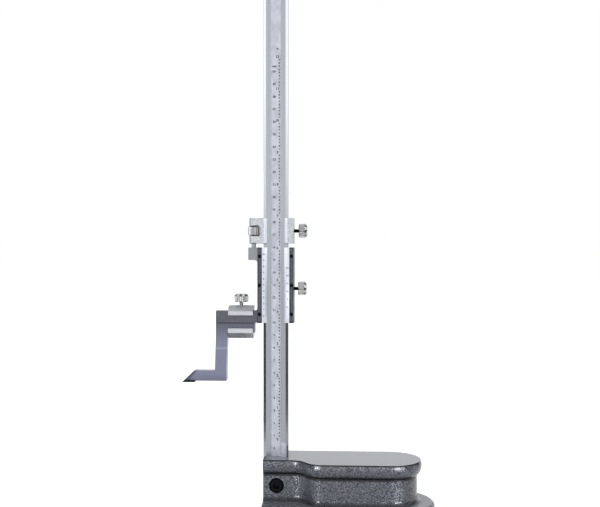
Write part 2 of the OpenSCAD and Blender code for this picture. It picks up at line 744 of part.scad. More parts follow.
// Knurled nut on the rod, trapped in the carriage's window
module fine_adjust_nut() color(STEEL) translate([rod_x, 0, carriage_mid - nut_h / 2])
    difference() {
        knurled(nut_d, nut_h, nut_knurls)
            chamfered([0, nut_d / 2], [0, nut_h], [0, nut_edge, nut_edge, 0]);
        bar_z(rod_d + 2 * turn_gap, -EPS, nut_h + EPS);
    }

// Yoke that presses the scriber's shank up against the arm
module scriber_clamp() color(SATIN)
    difference() {
        side_shape(clamp_x0, clamp_x1) translate([arm_y, 0])
            difference() {
                chamfered([-clamp_front, clamp_in_y + clamp_back_t], [clamp_z, clamp_top],
                    [clamp_bevel, 0.8, 0.8, clamp_bevel]);
                translate([-clamp_in_y, clamp_floor])
                    square([2 * clamp_in_y, clamp_roof - clamp_floor]);
                translate([-clamp_front - EPS, clamp_floor + clamp_lip_h])
                    square([clamp_front + EPS, clamp_roof - clamp_floor - 2 * clamp_lip_h]);
            }
        translate([clamp_mid, arm_y, 0]) bar_z(clamp_stem_d + 2 * turn_gap, arm_top, clamp_top + EPS);
    }

// Side outline of the scriber, before the carbide is let in
module scriber_outline() {
    lean_top = shank_z - shank_fillet;
    lean_bottom = toe_top + toe_fillet;
    difference() {
        polygon([
            [-slider_side - shank_gap, shank_top], [leg_x, shank_top], [leg_x, lean_top],
            [toe_x, lean_bottom], [toe_x, toe_top], [tip_x + tip_slope, toe_top], [tip_x, reading],
            [heel_x, reading], [heel_x, lean_bottom], [leg_x + leg_w, lean_top],
            [leg_x + leg_w, shank_z], [-slider_side - shank_gap, shank_z],
        ]);
        translate([tip_x - EPS, reading - EPS]) square([toe_l + leg_w + 2 * EPS, carbide_proud + EPS]);
    }
    translate([toe_x, toe_top]) mirror([1, 0]) fillet(toe_fillet);
    translate([leg_x + leg_w, shank_z]) rotate(-90) fillet(shank_fillet);
}

// Plan of the scriber, narrowed from behind towards its tip
module scriber_plan()
    translate([0, arm_y])
        polygon([
            [-slider_side, -arm_d / 2], [-slider_side, arm_d / 2], [tip_x + tip_slope, arm_d / 2],
            [tip_x, tip_w - arm_d / 2], [tip_x, -arm_d / 2],
        ]);

// The carbide's seat in the side outline of the toe
module carbide_seat()
    translate([tip_x - EPS, reading - EPS]) square([carbide_l + EPS, carbide_t + EPS]);

// Scriber: shank under the arm, leg down to the toe
module scriber_body() color(BLUE_STEEL)
    intersection() {
        front_shape(-slider_w, slider_w)
            difference() {
                scriber_outline();
                carbide_seat();
            }
        linear_extrude(slider_top) scriber_plan();
    }

// Carbide tip brazed into the toe
module carbide_tip() color(CARBIDE)
    intersection() {
        front_shape(-slider_w, slider_w)
            intersection() {
                polygon([
                    [tip_x, reading], [tip_x + carbide_l, reading], [tip_x + carbide_l, toe_top],
                    [tip_x + tip_slope, toe_top],
                ]);
                translate([tip_x, reading]) square([carbide_l, carbide_t]);
            }
        linear_extrude(slider_top) scriber_plan();
    }

base();
beam();
beam_clamp_screw();
slider_body();
gib_strip();
gib_adjusting_screws();
left_vernier_plate();
right_vernier_plate();
left_retaining_strip();
right_retaining_strip();
left_vernier_screws();
right_vernier_screws();
rod_bracket();
bracket_screws();
fine_adjust_rod();
rod_pin();
slider_clamp_pad();
slider_lock_stem();
slider_lock_knob();
carriage_body();
carriage_clamp_pad();
carriage_lock_stem();
carriage_lock_knob();
fine_adjust_nut();
scriber_clamp();
clamp_screw_pad();
clamp_screw_stem();
clamp_screw_knob();
scriber_body();
carbide_tip();
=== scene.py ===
# %% [markdown]
# # A vernier height gauge, from solids to a picture
# A height gauge stands on a surface plate and reads how high its scriber is. Its solids come from the CAD model as a
# fixed frame: one object for each piece, in metres, standing where it belongs. They could be modelled again here,
# but then the picture and the moving model would drift apart. So this lesson only gives them finishes and adds what
# is too fine for the solids: graduations, numerals and screw threads.

# %% Load the frame
import json
import math

import bpy
from mathutils import Matrix, Vector


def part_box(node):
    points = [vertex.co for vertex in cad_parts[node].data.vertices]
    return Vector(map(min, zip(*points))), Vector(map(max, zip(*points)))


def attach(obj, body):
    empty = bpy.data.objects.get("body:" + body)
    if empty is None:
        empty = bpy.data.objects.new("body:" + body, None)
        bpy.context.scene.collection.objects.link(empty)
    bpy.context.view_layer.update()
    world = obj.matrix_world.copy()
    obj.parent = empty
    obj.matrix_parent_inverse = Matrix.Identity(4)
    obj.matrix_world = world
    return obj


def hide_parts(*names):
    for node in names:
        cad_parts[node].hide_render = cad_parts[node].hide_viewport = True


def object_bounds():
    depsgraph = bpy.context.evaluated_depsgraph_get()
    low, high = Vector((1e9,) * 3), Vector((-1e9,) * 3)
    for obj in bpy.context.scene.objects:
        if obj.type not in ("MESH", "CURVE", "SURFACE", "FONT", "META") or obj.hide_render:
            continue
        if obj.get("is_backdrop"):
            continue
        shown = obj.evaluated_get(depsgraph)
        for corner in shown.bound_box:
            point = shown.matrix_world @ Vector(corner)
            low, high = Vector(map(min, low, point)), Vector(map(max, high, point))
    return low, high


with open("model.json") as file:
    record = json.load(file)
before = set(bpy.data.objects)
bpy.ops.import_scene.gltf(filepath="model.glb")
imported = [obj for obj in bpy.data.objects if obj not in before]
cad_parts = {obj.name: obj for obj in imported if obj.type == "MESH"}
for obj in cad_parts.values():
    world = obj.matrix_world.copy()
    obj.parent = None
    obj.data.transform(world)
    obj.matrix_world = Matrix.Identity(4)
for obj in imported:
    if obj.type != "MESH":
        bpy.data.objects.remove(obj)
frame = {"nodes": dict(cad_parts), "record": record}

MM = 0.001
scene = bpy.context.scene
nodes = frame["nodes"]
cad_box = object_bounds()
print("solids:", len(nodes), "box in mm:", [[round(c / MM, 1) for c in corner] for corner in cad_box])

# %% [markdown]
# ## The camera
# The photograph shows the deck of the base as a thin ellipse and the scales almost square on. So the camera stands
# level, 0.7 m in front, with the horizon near the middle of the slider and a turn of 3 degrees. The focal length
# could be tried by eye, but the scales give it: their millimetres stand 1.256 pixels apart, and times 700 mm that
# makes 879 pixels, in a picture 600 pixels wide.

# %% Camera
SENSOR_WIDTH = 36.0
FOCAL_PIXELS, PICTURE_PIXELS = 879, 600
camera_data = bpy.data.cameras.new("camera")
camera_data.sensor_width = SENSOR_WIDTH
camera_data.lens = SENSOR_WIDTH * FOCAL_PIXELS / PICTURE_PIXELS
camera = bpy.data.objects.new("camera", camera_data)
camera.location = (0.0559, -0.702, 0.2085)
camera.rotation_euler = (math.radians(90), 0, math.radians(3))
scene.collection.objects.link(camera)
scene.camera = camera
scene.view_settings.view_transform = "Standard"
print("lens:", round(camera_data.lens, 2), "mm")

# %% [markdown]
# ## The sky
# Bright metal shows its surroundings more than its own colour, so the light comes first. The gauge stands in front
# of plain white. One white sky could give background and light at once, but its full light would wash out the
# steel. So the sky is white to the camera and in reflections, and lights the gauge a little less.


# %% White sky
def seen_or_mirrored(tree):
    """1 for a ray from the camera, a mirror or glass, and 0 for a ray that carries light."""
    path = tree.nodes.new("ShaderNodeLightPath")
    most = path.outputs["Is Camera Ray"]
    for name in ("Is Glossy Ray", "Is Transmission Ray"):
        larger = tree.nodes.new("ShaderNodeMath")
        larger.operation = "MAXIMUM"
        tree.links.new(most, larger.inputs[0])
        tree.links.new(path.outputs[name], larger.inputs[1])
        most = larger.outputs[0]
    return most


def between(tree, value, low, high, start=0.0, end=1.0):
    """A strength that goes from low to high as value goes from start to end."""
    ramp = tree.nodes.new("ShaderNodeMapRange")
    tree.links.new(value, ramp.inputs["Value"])
    for socket, number in zip(("From Min", "From Max", "To Min", "To Max"), (start, end, low, high)):
        ramp.inputs[socket].default_value = number
    return ramp.outputs["Result"]


SKY_LIGHT, SKY_LOOK = 0.8, 1.0
sky = bpy.data.worlds.new("white_sky")
sky.use_nodes = True
sky_tree = sky.node_tree
sky_glow = sky_tree.nodes["Background"]
sky_glow.inputs["Color"].default_value = (1, 1, 1, 1)
sky_strength = between(sky_tree, seen_or_mirrored(sky_tree), SKY_LIGHT, SKY_LOOK)
sky_tree.links.new(sky_strength, sky_glow.inputs["Strength"])
scene.world = sky
print("sky: looks", SKY_LOOK, "and lights", SKY_LIGHT)

# %% [markdown]
# ## Softboxes
# A photographer hangs large soft lamps round a shiny thing. Two stand in front and one hangs above, for the soft
# shadow and the light on paint. In a mirror they would be hard white squares on every flat face, so reflections
# don't show them.


# %% Three softboxes
def softbox(name, place, size, power, aim):
    """A rectangular lamp that faces a point."""
    lamp = bpy.data.lights.new(name, "AREA")
    lamp.shape = "RECTANGLE"
    lamp.size, lamp.size_y = size
    lamp.energy = power
    holder = bpy.data.objects.new(name, lamp)
    holder.location = place
    holder.rotation_euler = (Vector(aim) - holder.location).to_track_quat("-Z", "Y").to_euler()
    scene.collection.objects.link(holder)
    return holder


GAUGE_MIDDLE = (0.02, 0, 0.15)
for name, place, size, power in (
    ("softbox_left", (-0.6, -1.0, 1.1), (0.3, 0.4), 3.5),
    ("softbox_right", (0.75, -1.0, 1.1), (0.3, 0.4), 3.0),
    ("softbox_top", (0.1, 0.25, 1.3), (0.8, 0.5), 3.0),
):
    box = softbox(name, place, size, power, GAUGE_MIDDLE)
    box.visible_glossy = False
    print(name, "at", place, "with", power, "W")

# %% [markdown]
# ## Lamps for single pieces
# The casting's glossy paint shows clear highlights on its bends, and the right vernier plate gleams more than the
# left one. A lamp that is strong enough for the paint would blind the chrome. Light linking solves that: a lamp
# lights only what is in its receiver collection. Without diffuse light it adds a highlight and nothing else.


# %% Lamps with one receiver
def highlight_on(node, box):
    """Let a softbox light one solid alone, and only by its reflection there."""
    receiver = bpy.data.collections.new(node + "_only")
    receiver.objects.link(nodes[node])
    box.visible_diffuse = False
    box.light_linking.receiver_collection = receiver
    print(box.name, "lights", node)


CASTING_MIDDLE, PLATE_MIDDLE = (0.04, 0, 0.04), (0.009, -0.005, 0.17)
CASTING_BOX_HEIGHT, CASTING_POWER = 0.26, 36.0
for name, place, width in (
    ("casting_box_left", (-0.58, -1.0, 0.14), 0.36),
    ("casting_box_right", (0.72, -1.0, 0.14), 0.6),
):
    box = softbox(name, place, (width, CASTING_BOX_HEIGHT), CASTING_POWER * width, CASTING_MIDDLE)
    highlight_on("base", box)
plate_box = softbox("plate_box", (-0.37, -0.47, 0.07), (0.3, 0.13), 0.15, PLATE_MIDDLE)
highlight_on("right_vernier_plate", plate_box)

# %% [markdown]
# ## The floor
# The gauge stands on a pale sheet that takes its soft shadow. A plain white sheet turns grey away from the lamps.
# More light would mend that and spoil the metal, so the sheet glows a little instead, and more with distance. Only
# the camera, mirrors and glass see the glow, so it lights nothing.


# %% Floor
def stage_sheet(name, corners):
    """A flat sheet that is part of the studio, not of the gauge."""
    mesh = bpy.data.meshes.new(name)
    mesh.from_pydata(corners, [], [tuple(range(len(corners)))])
    sheet = bpy.data.objects.new(name, mesh)
    scene.collection.objects.link(sheet)
    sheet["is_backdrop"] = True
    return sheet


def level(left, right, front, back, z):
    """The corners of a sheet that lies flat."""
    return [(left, front, z), (right, front, z), (right, back, z), (left, back, z)]


FLOOR_REACH, FLOOR_Z = 6, -0.1 * MM
FLOOR_GREY, GLOW_NEAR, GLOW_FAR = 0.86, 0.28, 0.5
floor = stage_sheet("floor", level(-FLOOR_REACH, FLOOR_REACH, -FLOOR_REACH, FLOOR_REACH, FLOOR_Z))
pale = bpy.data.materials.new("pale_floor")
pale.use_nodes = True
floor_tree = pale.node_tree
floor_tree.nodes.clear()
matt = floor_tree.nodes.new("ShaderNodeBsdfDiffuse")
matt.inputs["Color"].default_value = (FLOOR_GREY, FLOOR_GREY, FLOOR_GREY, 1)
floor_place = floor_tree.nodes.new("ShaderNodeTexCoord")
away = floor_tree.nodes.new("ShaderNodeVectorMath")
away.operation = "LENGTH"
floor_tree.links.new(floor_place.outputs["Object"], away.inputs[0])
fade = floor_tree.nodes.new("ShaderNodeMath")
fade.operation = "MULTIPLY"
floor_tree.links.new(seen_or_mirrored(floor_tree), fade.inputs[0])
floor_tree.links.new(between(floor_tree, away.outputs["Value"], GLOW_NEAR, GLOW_FAR), fade.inputs[1])
glow = floor_tree.nodes.new("ShaderNodeEmission")
floor_tree.links.new(fade.outputs[0], glow.inputs["Strength"])
matt_and_glow = floor_tree.nodes.new("ShaderNodeAddShader")
floor_tree.links.new(matt.outputs[0], matt_and_glow.inputs[0])
floor_tree.links.new(glow.outputs[0], matt_and_glow.inputs[1])
floor_out = floor_tree.nodes.new("ShaderNodeOutputMaterial")
floor_tree.links.new(matt_and_glow.outputs[0], floor_out.inputs["Surface"])
floor.data.materials.append(pale)
print("floor:", 2 * FLOOR_REACH, "m wide, glow", GLOW_NEAR, "to", GLOW_FAR)

# %% [markdown]
# ## Cards and panels
# Dark cards low at the sides put a dark line into the beam's lower chamfers. Bright panels above them, brighter
# upwards, make the upper chamfers gleam, and two short ones light the carriage's lips. Further cards in front,
# under the scriber, overhead and at the back keep flat faces from showing nothing but sky. All this could be
# painted into the metal, but then the shine would stick to it when the slider moves. Only reflections see them.


# %% Cards and panels
def upright(x, front, back, low, high):
    """The corners of a sheet that stands beside the gauge, facing it."""
    return [(x, front, low), (x, back, low), (x, back, high), (x, front, high)]


def stage_card(name, grey, dim, bright, corners):
    """A sheet that only reflections see: its glow goes from dim to bright between two heights."""
    card = stage_sheet(name, corners)
    card_paint = bpy.data.materials.new(name)
    card_paint.use_nodes = True
    card_tree = card_paint.node_tree
    card_shader = card_tree.nodes["Principled BSDF"]
    card_shader.inputs["Base Color"].default_value = (grey, grey, grey, 1)
    card_shader.inputs["Roughness"].default_value = 0.9
    card_shader.inputs["Emission Color"].default_value = (1, 1, 1, 1)
    card_place = card_tree.nodes.new("ShaderNodeTexCoord")
    split = card_tree.nodes.new("ShaderNodeSeparateXYZ")
    card_tree.links.new(card_place.outputs["Object"], split.inputs[0])
    card_glow = between(card_tree, split.outputs["Z"], dim, bright, PANEL_FOOT, PANEL_FULL)
    card_tree.links.new(card_glow, card_shader.inputs["Emission Strength"])
    card.data.materials.append(card_paint)
    card.visible_camera = card.visible_shadow = card.visible_diffuse = False
    return card


LEFT_X, RIGHT_X = -0.27, 0.3
CARD_TOP, PANEL_FOOT, PANEL_FULL, LIP_PANEL_TOP, PANEL_TOP = 0.185, 0.2, 0.4, 0.3, 0.75
PANEL_GREY = 0.02
cards = [stage_card(*row) for row in (
    ("card_left", 0.11, 0.0, 0.0, upright(LEFT_X, -0.22, 0.0, 0.0, CARD_TOP)),
    ("card_right", 0.15, 0.0, 0.0, upright(RIGHT_X, -0.34, -0.05, 0.0, CARD_TOP)),
    ("panel_left", PANEL_GREY, 0.95, 2.15, upright(LEFT_X, -0.22, -0.1, PANEL_FOOT, PANEL_TOP)),
    ("panel_right", PANEL_GREY, 0.85, 2.05, upright(RIGHT_X, -0.34, -0.12, PANEL_FOOT, PANEL_TOP)),
    ("lip_panel_left", PANEL_GREY, 3.0, 3.0, upright(LEFT_X, -0.1, 0.02, PANEL_FOOT, LIP_PANEL_TOP)),
    ("lip_panel_right", PANEL_GREY, 1.85, 1.85, upright(RIGHT_X, -0.12, -0.02, PANEL_FOOT, LIP_PANEL_TOP)),
    ("card_back_left", 0.04, 0.0, 0.0, upright(LEFT_X, 0.02, 0.14, 0.02, 0.8)),
    ("card_back_right", 0.04, 0.0, 0.0, upright(RIGHT_X, 0.02, 0.14, 0.02, 0.8)),
    ("card_front", 0.95, 0.0, 0.0, level(-0.2, 0.3, -2.5, -0.1, 0.0005)),
    ("card_under", 0.2, 0.0, 0.0, level(-0.1, -0.02, -0.06, 0.06, 0.07)),
    ("card_above", 0.7, 0.0, 0.0, level(-0.7, 0.7, -0.6, 0.4, 0.9)),
)]
print("cards and panels:", len(cards))

# %% [markdown]
# ## A short way to write finishes
# A finish is one Principled shader and a handful of textures. It could be clicked together in the shader editor, but
# a script is easier to repeat and to compare. The textures read object coordinates: a solid's object sits at the
# origin, so those are the gauge's own metres, and a noise scale of 1000 means one grain per millimetre. What is the
# same all over is set on the shader itself. Only what varies comes through nodes.


# %% Colour and shader
def tone(red, green, blue):
    """An sRGB colour, 0 to 255, as the linear colour that Blender's sockets take."""
    linear = [((c / 255 + 0.055) / 1.055) ** 2.4 if c > 10 else c / 255 / 12.92 for c in (red, green, blue)]
    return (*linear, 1.0)


class Coating:
    """A material in the making: one shader, and calls that add nodes and plug them in."""

    def __init__(self, name, metallic, roughness, **constants):
        self.material = bpy.data.materials.new(name)
        self.material.use_nodes = True
        self.tree = self.material.node_tree
        self.shader = self.tree.nodes["Principled BSDF"]
        self.shader.inputs["Metallic"].default_value = metallic
        self.shader.inputs["Roughness"].default_value = roughness
        for socket, value in constants.items():
            self.shader.inputs[socket.replace("_", " ")].default_value = value

    def node(self, kind, **settings):
        made = self.tree.nodes.new(kind)
        for key, value in settings.items():
            setattr(made, key, value)
        return made

    def plug(self, source, socket):
        """Set a socket to a number or colour, or link it to another node's output."""
        if isinstance(source, bpy.types.NodeSocket):
            self.tree.links.new(source, socket)
        else:
            socket.default_value = source

    def colour(self, socket):
        self.tree.links.new(socket, self.shader.inputs["Base Color"])

    def gloss(self, socket):
        self.tree.links.new(socket, self.shader.inputs["Roughness"])

    def emboss(self, height, depth, strength):
        """Bump from a height of 0 to 1, that stands for a depth in metres."""
        bump = self.node("ShaderNodeBump")
        bump.inputs["Distance"].default_value = depth
        self.plug(strength, bump.inputs["Strength"])
        self.tree.links.new(height, bump.inputs["Height"])
        self.tree.links.new(bump.outputs["Normal"], self.shader.inputs["Normal"])


print("middle grey, 128 of 255, is", round(tone(128, 128, 128)[0], 3), "in linear light")

# %% [markdown]
# ## Textures and masks
# Grinding lines, frost and paint are textures. Where a finish changes, at an edge or a band, a mask says so: a
# number that is 1 there and 0 elsewhere, made from an object coordinate. The mask could be an image, but a rule in
# millimetres follows the real part and stays sharp at any distance.

# %% Textures and masks
X, Y, Z = range(3)


class Textured(Coating):
    """A coating with textures. Each call adds nodes and hands back a socket."""

    def metres(self, stretch=(1, 1, 1)):
        """Object coordinates, times stretch along each axis."""
        coordinates = self.node("ShaderNodeTexCoord")
        mapping = self.node("ShaderNodeMapping")
        mapping.inputs["Scale"].default_value = stretch
        self.tree.links.new(coordinates.outputs["Object"], mapping.inputs["Vector"])
        return mapping.outputs["Vector"]

    def noise(self, scale, stretch=(1, 1, 1), detail=3.0):
        texture = self.node("ShaderNodeTexNoise")
        texture.inputs["Scale"].default_value = scale
        texture.inputs["Detail"].default_value = detail
        texture.inputs["Roughness"].default_value = 0.55
        self.tree.links.new(self.metres(stretch), texture.inputs["Vector"])
        return texture.outputs[0]

    def dimples(self, scale):
        """Soft round cells: 0 in the middle of each, larger towards its seams."""
        texture = self.node("ShaderNodeTexVoronoi", feature="SMOOTH_F1")
        texture.inputs["Scale"].default_value = scale
        texture.inputs["Smoothness"].default_value = 0.35
        self.tree.links.new(self.metres(), texture.inputs["Vector"])
        return texture.outputs["Distance"]

    def along(self, axis):
        """One object coordinate, in metres."""
        split = self.node("ShaderNodeSeparateXYZ")
        self.tree.links.new(self.metres(), split.inputs[0])
        return split.outputs[axis]


class Finish(Textured):
    """A textured coating with sums on sockets, for masks and mixes."""

    def sums(self, operation, a, b=0.0):
        maths = self.node("ShaderNodeMath", operation=operation)
        self.plug(a, maths.inputs[0])
        self.plug(b, maths.inputs[1])
        return maths.outputs[0]

    def both(self, a, b):
        """A mask where two masks hold."""
        return self.sums("MULTIPLY", a, b)

    def either(self, a, b):
        """A mask where at least one of two masks holds."""
        return self.sums("MAXIMUM", a, b)

    def reach(self, a, b):
        """How far a point lies from an axis, from its two offsets."""
        return self.sums("SQRT", self.sums("ADD", self.sums("MULTIPLY", a, a), self.sums("MULTIPLY", b, b)))

    def step(self, value, low, high, to_low=0.0, to_high=1.0):
        """A value that goes from to_low to to_high while the input goes from low to high."""
        span = self.node("ShaderNodeMapRange", interpolation_type="SMOOTHSTEP")
        self.tree.links.new(value, span.inputs["Value"])
        for socket, number in zip(("From Min", "From Max", "To Min", "To Max"), (low, high, to_low, to_high)):
            span.inputs[socket].default_value = number
        return span.outputs["Result"]

    def spread(self, noise, to_low=0.0, to_high=1.0):
        """Noise lies mostly between 0.3 and 0.7. This stretches it to a wider range."""
        return self.step(noise, 0.3, 0.7, to_low, to_high)

    def near(self, value, middle, far, close, strength):
        """A mask round a middle value: its strength holds up to close and fades to nothing at far."""
        gap = self.sums("ABSOLUTE", self.sums("SUBTRACT", value, middle))
        return self.step(gap, far, close, 0.0, strength)

    def mix(self, data_type, kind, fraction, a, b):
        made = self.node("ShaderNodeMix", data_type=data_type)
        self.plug(fraction, made.inputs["Factor"])
        sockets = [s for s in made.inputs if s.name in ("A", "B") and s.type == kind]
        self.plug(a, sockets[0])
        self.plug(b, sockets[1])
        return next(s for s in made.outputs if s.type == kind)

    def blend(self, fraction, a, b):
        """Colour a where fraction is 0, colour b where it is 1."""
        return self.mix("RGBA", "RGBA", fraction, a, b)

    def weigh(self, fraction, a, b):
        """Number a where fraction is 0, number b where it is 1."""
        return self.mix("FLOAT", "VALUE", fraction, a, b)


print("calls of a finish:", [name for kind in (Textured, Finish) for name in vars(kind) if name[0] != "_"])

# %% [markdown]
# ## Hammertone paint on the casting
# The base is cast iron under hammertone paint, whose pigment dries into small domes with darker seams between them.
# The domes could be modelled, but they are a millimetre wide and there are tens of thousands. A smooth cell texture
# gives them for both the colour and the bump.

# %% Domes and patches
DOMES_PER_METRE = 860
deck_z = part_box("base")[1].z
paint = Finish("hammertone_paint", 0.25, 0.3, Specular_IOR_Level=0.15, Coat_Weight=0.4, Coat_Roughness=0.14,
               Coat_IOR=1.4)
paint_z = paint.along(Z)
domes = paint.dimples(DOMES_PER_METRE)
patches = paint.noise(160, detail=2)
wall_tone = paint.blend(paint.step(domes, 0.15, 0.75), tone(112, 116, 125), tone(61, 64, 72))
wall_tone = paint.blend(paint.spread(patches, 0.0, 0.28), wall_tone, tone(76, 77, 80))
print("domes:", round(1 / DOMES_PER_METRE / MM, 1), "mm wide, deck at", round(deck_z / MM, 1), "mm")

# %% [markdown]
# ## Painted shade in the corners, and a smooth deck
# The groove under the bead and the fillet above the foot get painted shade, the foot's edge gets a painted highlight,
# and the paint lies thick and dark along the deck's rim. Every place is at a known height, so a mask by height does
# it.
# The deck is ground flat and painted smooth, so the domes fade out where it begins.

# %% Groove, fillet, foot, rim and deck
# painted shade in the groove and in the fillet
GROOVE_SHADE_TONE, FILLET_SHADE_TONE = tone(12, 12, 14), tone(28, 29, 32)
# a painted highlight on the foot's edge, and dark paint along the rim
FOOT_EDGE_HIGHLIGHT_TONE, RIM_TONE = tone(150, 153, 158), tone(20, 21, 23)
groove_z, foot_z = deck_z - 11.5 * MM, 14.0 * MM
# painted shade in the groove under the bead
shade_in_groove = paint.near(paint_z, groove_z, 2.4 * MM, 0.9 * MM, 0.92)
# painted shade in the fillet above the foot
shade_in_fillet = paint.both(paint.step(paint_z, foot_z + 0.2 * MM, foot_z + 0.7 * MM, 0.0, 0.6),
                       paint.step(paint_z, foot_z + 4.8 * MM, foot_z + 2.2 * MM))
# painted highlight along the foot's edge
highlight_on_foot_edge = paint.near(paint_z, foot_z, 0.25 * MM, 0.1 * MM, 0.3)
on_rim = paint.step(paint_z, deck_z - 1.5 * MM, deck_z - 0.7 * MM, 0.0, 0.9)
on_deck = paint.step(paint_z, deck_z - 0.12 * MM, deck_z - 0.03 * MM)
# painted shade, a painted highlight and the rim's dark paint, laid over the wall
for place, place_tone in (
    (shade_in_groove, GROOVE_SHADE_TONE), (shade_in_fillet, FILLET_SHADE_TONE), (highlight_on_foot_edge, FOOT_EDGE_HIGHLIGHT_TONE), (on_rim, RIM_TONE),
):
    wall_tone = paint.blend(place, wall_tone, place_tone)
deck_tone = paint.blend(paint.noise(900, detail=4), tone(114, 118, 125), tone(127, 131, 138))
paint.colour(paint.blend(on_deck, wall_tone, deck_tone))
paint.gloss(paint.weigh(on_deck, paint.spread(patches, 0.22, 0.34), 0.24))
paint.emboss(paint.step(domes, 0.0, 0.8, 1.0, 0.0), 0.16 * MM, paint.weigh(on_deck, 0.75, 0.02))
print("groove at", round(groove_z / MM, 1), "mm, foot's edge at", round(foot_z / MM, 1), "mm")

# %% [markdown]
# ## Where the beam is ground and where it is frosted
# The beam is ground steel. The band that carries the scales is sunk a little and frosted, so that the graduations
# read without glare, and a patch at the foot, right of the middle, is frosted too. The chamfers are ground finer
# than the lands. Separate meshes could carry the finishes, but the solid is one, so masks divide it.

# %% Band, foot patch and chamfers
BAND_HALF = 4.0 * MM
beam_low, beam_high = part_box("beam")
ground = Finish("ground_beam_steel", 1.0, 0.3)
from_middle = ground.sums("ABSOLUTE", ground.along(X))
on_front = ground.step(ground.along(Y), beam_low.y + 0.55 * MM, beam_low.y + 0.45 * MM)
across_band = ground.step(from_middle, BAND_HALF + 0.02 * MM, BAND_HALF - 0.02 * MM)
foot_patch = ground.both(ground.step(ground.along(Z), 58.2 * MM, 57.2 * MM),
                         ground.step(ground.along(X), 0.0, 0.1 * MM))
in_frost = ground.both(ground.either(across_band, foot_patch), on_front)
on_chamfer = ground.step(from_middle, 7.85 * MM, 7.95 * MM)
print("beam:", round((beam_high.z - beam_low.z) / MM), "mm long, band", round(2 * BAND_HALF / MM, 1), "mm wide")

# %% [markdown]
# ## Ground and frosted steel
# A grinding wheel leaves fine lines along the beam: noise that is stretched along Z. The bare steel is darker towards
# the foot, as painted shade. The frost is a fine even grain over faint clouds. Both textures also drive the bump, so
# that the light breaks along the lines and scatters on the frost.

# %% Beam finish
lines = ground.noise(1.0, (5200, 5200, 60), detail=2)
frost = ground.noise(2600)
clouds = ground.noise(240, (1, 1, 0.5))
# painted shade: the bare steel is darker towards the foot and lighter higher up
shaded_land_steel = ground.blend(lines, tone(151, 154, 162), tone(167, 170, 178))
lit_land_steel = ground.blend(lines, tone(169, 173, 181), tone(186, 190, 197))
bare_land = ground.blend(ground.step(ground.along(Z), 140 * MM, 260 * MM), shaded_land_steel, lit_land_steel)
frosted = ground.blend(ground.spread(clouds), tone(190, 194, 205), tone(212, 216, 226))
frosted = ground.blend(ground.step(frost, 0.42, 0.7, 0.0, 0.3), frosted, tone(166, 171, 184))
ground.colour(ground.blend(in_frost, bare_land, frosted))
bare_gloss = ground.weigh(on_chamfer, ground.spread(lines, 0.24, 0.34), 0.17)
ground.gloss(ground.weigh(in_frost, bare_gloss, 0.55))
ground.emboss(ground.weigh(in_frost, lines, frost), 0.006 * MM, 0.5)
print("beam finish:", len(ground.tree.nodes), "nodes")

# %% [markdown]
# ## Plain metals
# The small pieces are machined, plated or blackened metal. Each finish is a metal colour, a texture of the size that
# the tool or bath leaves, and a roughness to match. A preset would look like plastic from close by, so two helpers
# give every metal its own marks: lines where a tool has passed, a grain where a bath has worked.


# %% Lined and grained metal
def lined_metal(name, dark, light, stretch, rough, depth=0.006, metallic=1.0):
    """Metal with fine lines: stretch is small along the lines and large across them."""
    made = Finish(name, metallic, rough)
    tooled = made.noise(1.0, stretch, detail=2)
    cloud = made.noise(180, detail=2)
    made.colour(made.blend(made.weigh(0.35, tooled, cloud), dark, light))
    made.gloss(made.spread(tooled, rough - 0.05, rough + 0.07))
    made.emboss(tooled, depth * MM, 0.5)
    return made.material


def grained_metal(name, dark, light, size, rough, depth=0.02):
    """Metal with a grain that is the same in every direction: size is the grain's size in mm."""
    made = Finish(name, 1.0, rough)
    grain = made.noise(1 / (size * MM))
    cloud = made.noise(150, detail=2)
    made.colour(made.blend(made.weigh(0.4, made.spread(grain), cloud), dark, light))
    made.gloss(made.spread(cloud, rough - 0.05, rough + 0.06))
    made.emboss(grain, depth * MM, 0.5)
    return made.material


ALONG_X, ALONG_Y, EVEN = (60, 4200, 4200), (2600, 120, 2600), (900, 900, 900)
finishes = {
    "hammertone_casting": paint.material,
    "beam_steel": ground.material,
    "black_screw": grained_metal("black_oxide", tone(15, 15, 17), tone(31, 31, 35), 0.4, 0.38, 0.01),
    "dark_steel": grained_metal("dark_ground_steel", tone(86, 87, 95), tone(112, 113, 122), 0.9, 0.42),
    "satin_steel": grained_metal("satin_plating", tone(184, 187, 192), tone(214, 217, 221), 0.45, 0.4),
    "carbide": grained_metal("ground_carbide", tone(38, 40, 44), tone(58, 60, 65), 0.15, 0.34, 0.004),
    "brass": lined_metal("turned_brass", tone(190, 158, 96), tone(214, 184, 122), EVEN, 0.3),
    "satin_chrome": lined_metal("satin_chrome", tone(207, 211, 222), tone(229, 233, 243), ALONG_X, 0.34, 0.004),
    "bare_steel": lined_metal("bare_milled_steel", tone(138, 140, 143), tone(160, 162, 165), ALONG_Y, 0.36),
}
print("plain finishes:", sorted(finishes))

# %% [markdown]
# ## The scriber's colours by height
# The scriber is hardened steel, bluish, darker on its shank, which the clamp covers, and lighter from the leg down.
# One grind runs over all of it, and its colour changes with the height.

# %% Shank and leg
SHANK_END, LEG_START, PALE_LINE_Z = 155 * MM, 134 * MM, 132.8 * MM
scriber_low, scriber_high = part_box("scriber_body")
blued = Finish("blued_scriber_steel", 1.0, 0.36)
grind = blued.noise(1.0, (3200, 3200, 240), detail=2)
scriber_z = blued.along(Z)
# the shank is darker than the leg, and the colour changes with the height
shank_tone = blued.blend(grind, tone(92, 94, 105), tone(108, 110, 122))
leg_tone = blued.blend(grind, tone(119, 123, 143), tone(139, 142, 162))
scriber_tone = blued.blend(blued.step(scriber_z, SHANK_END, LEG_START), shank_tone, leg_tone)
print("scriber: temper changes from", round(SHANK_END / MM), "down to", round(LEG_START / MM), "mm")
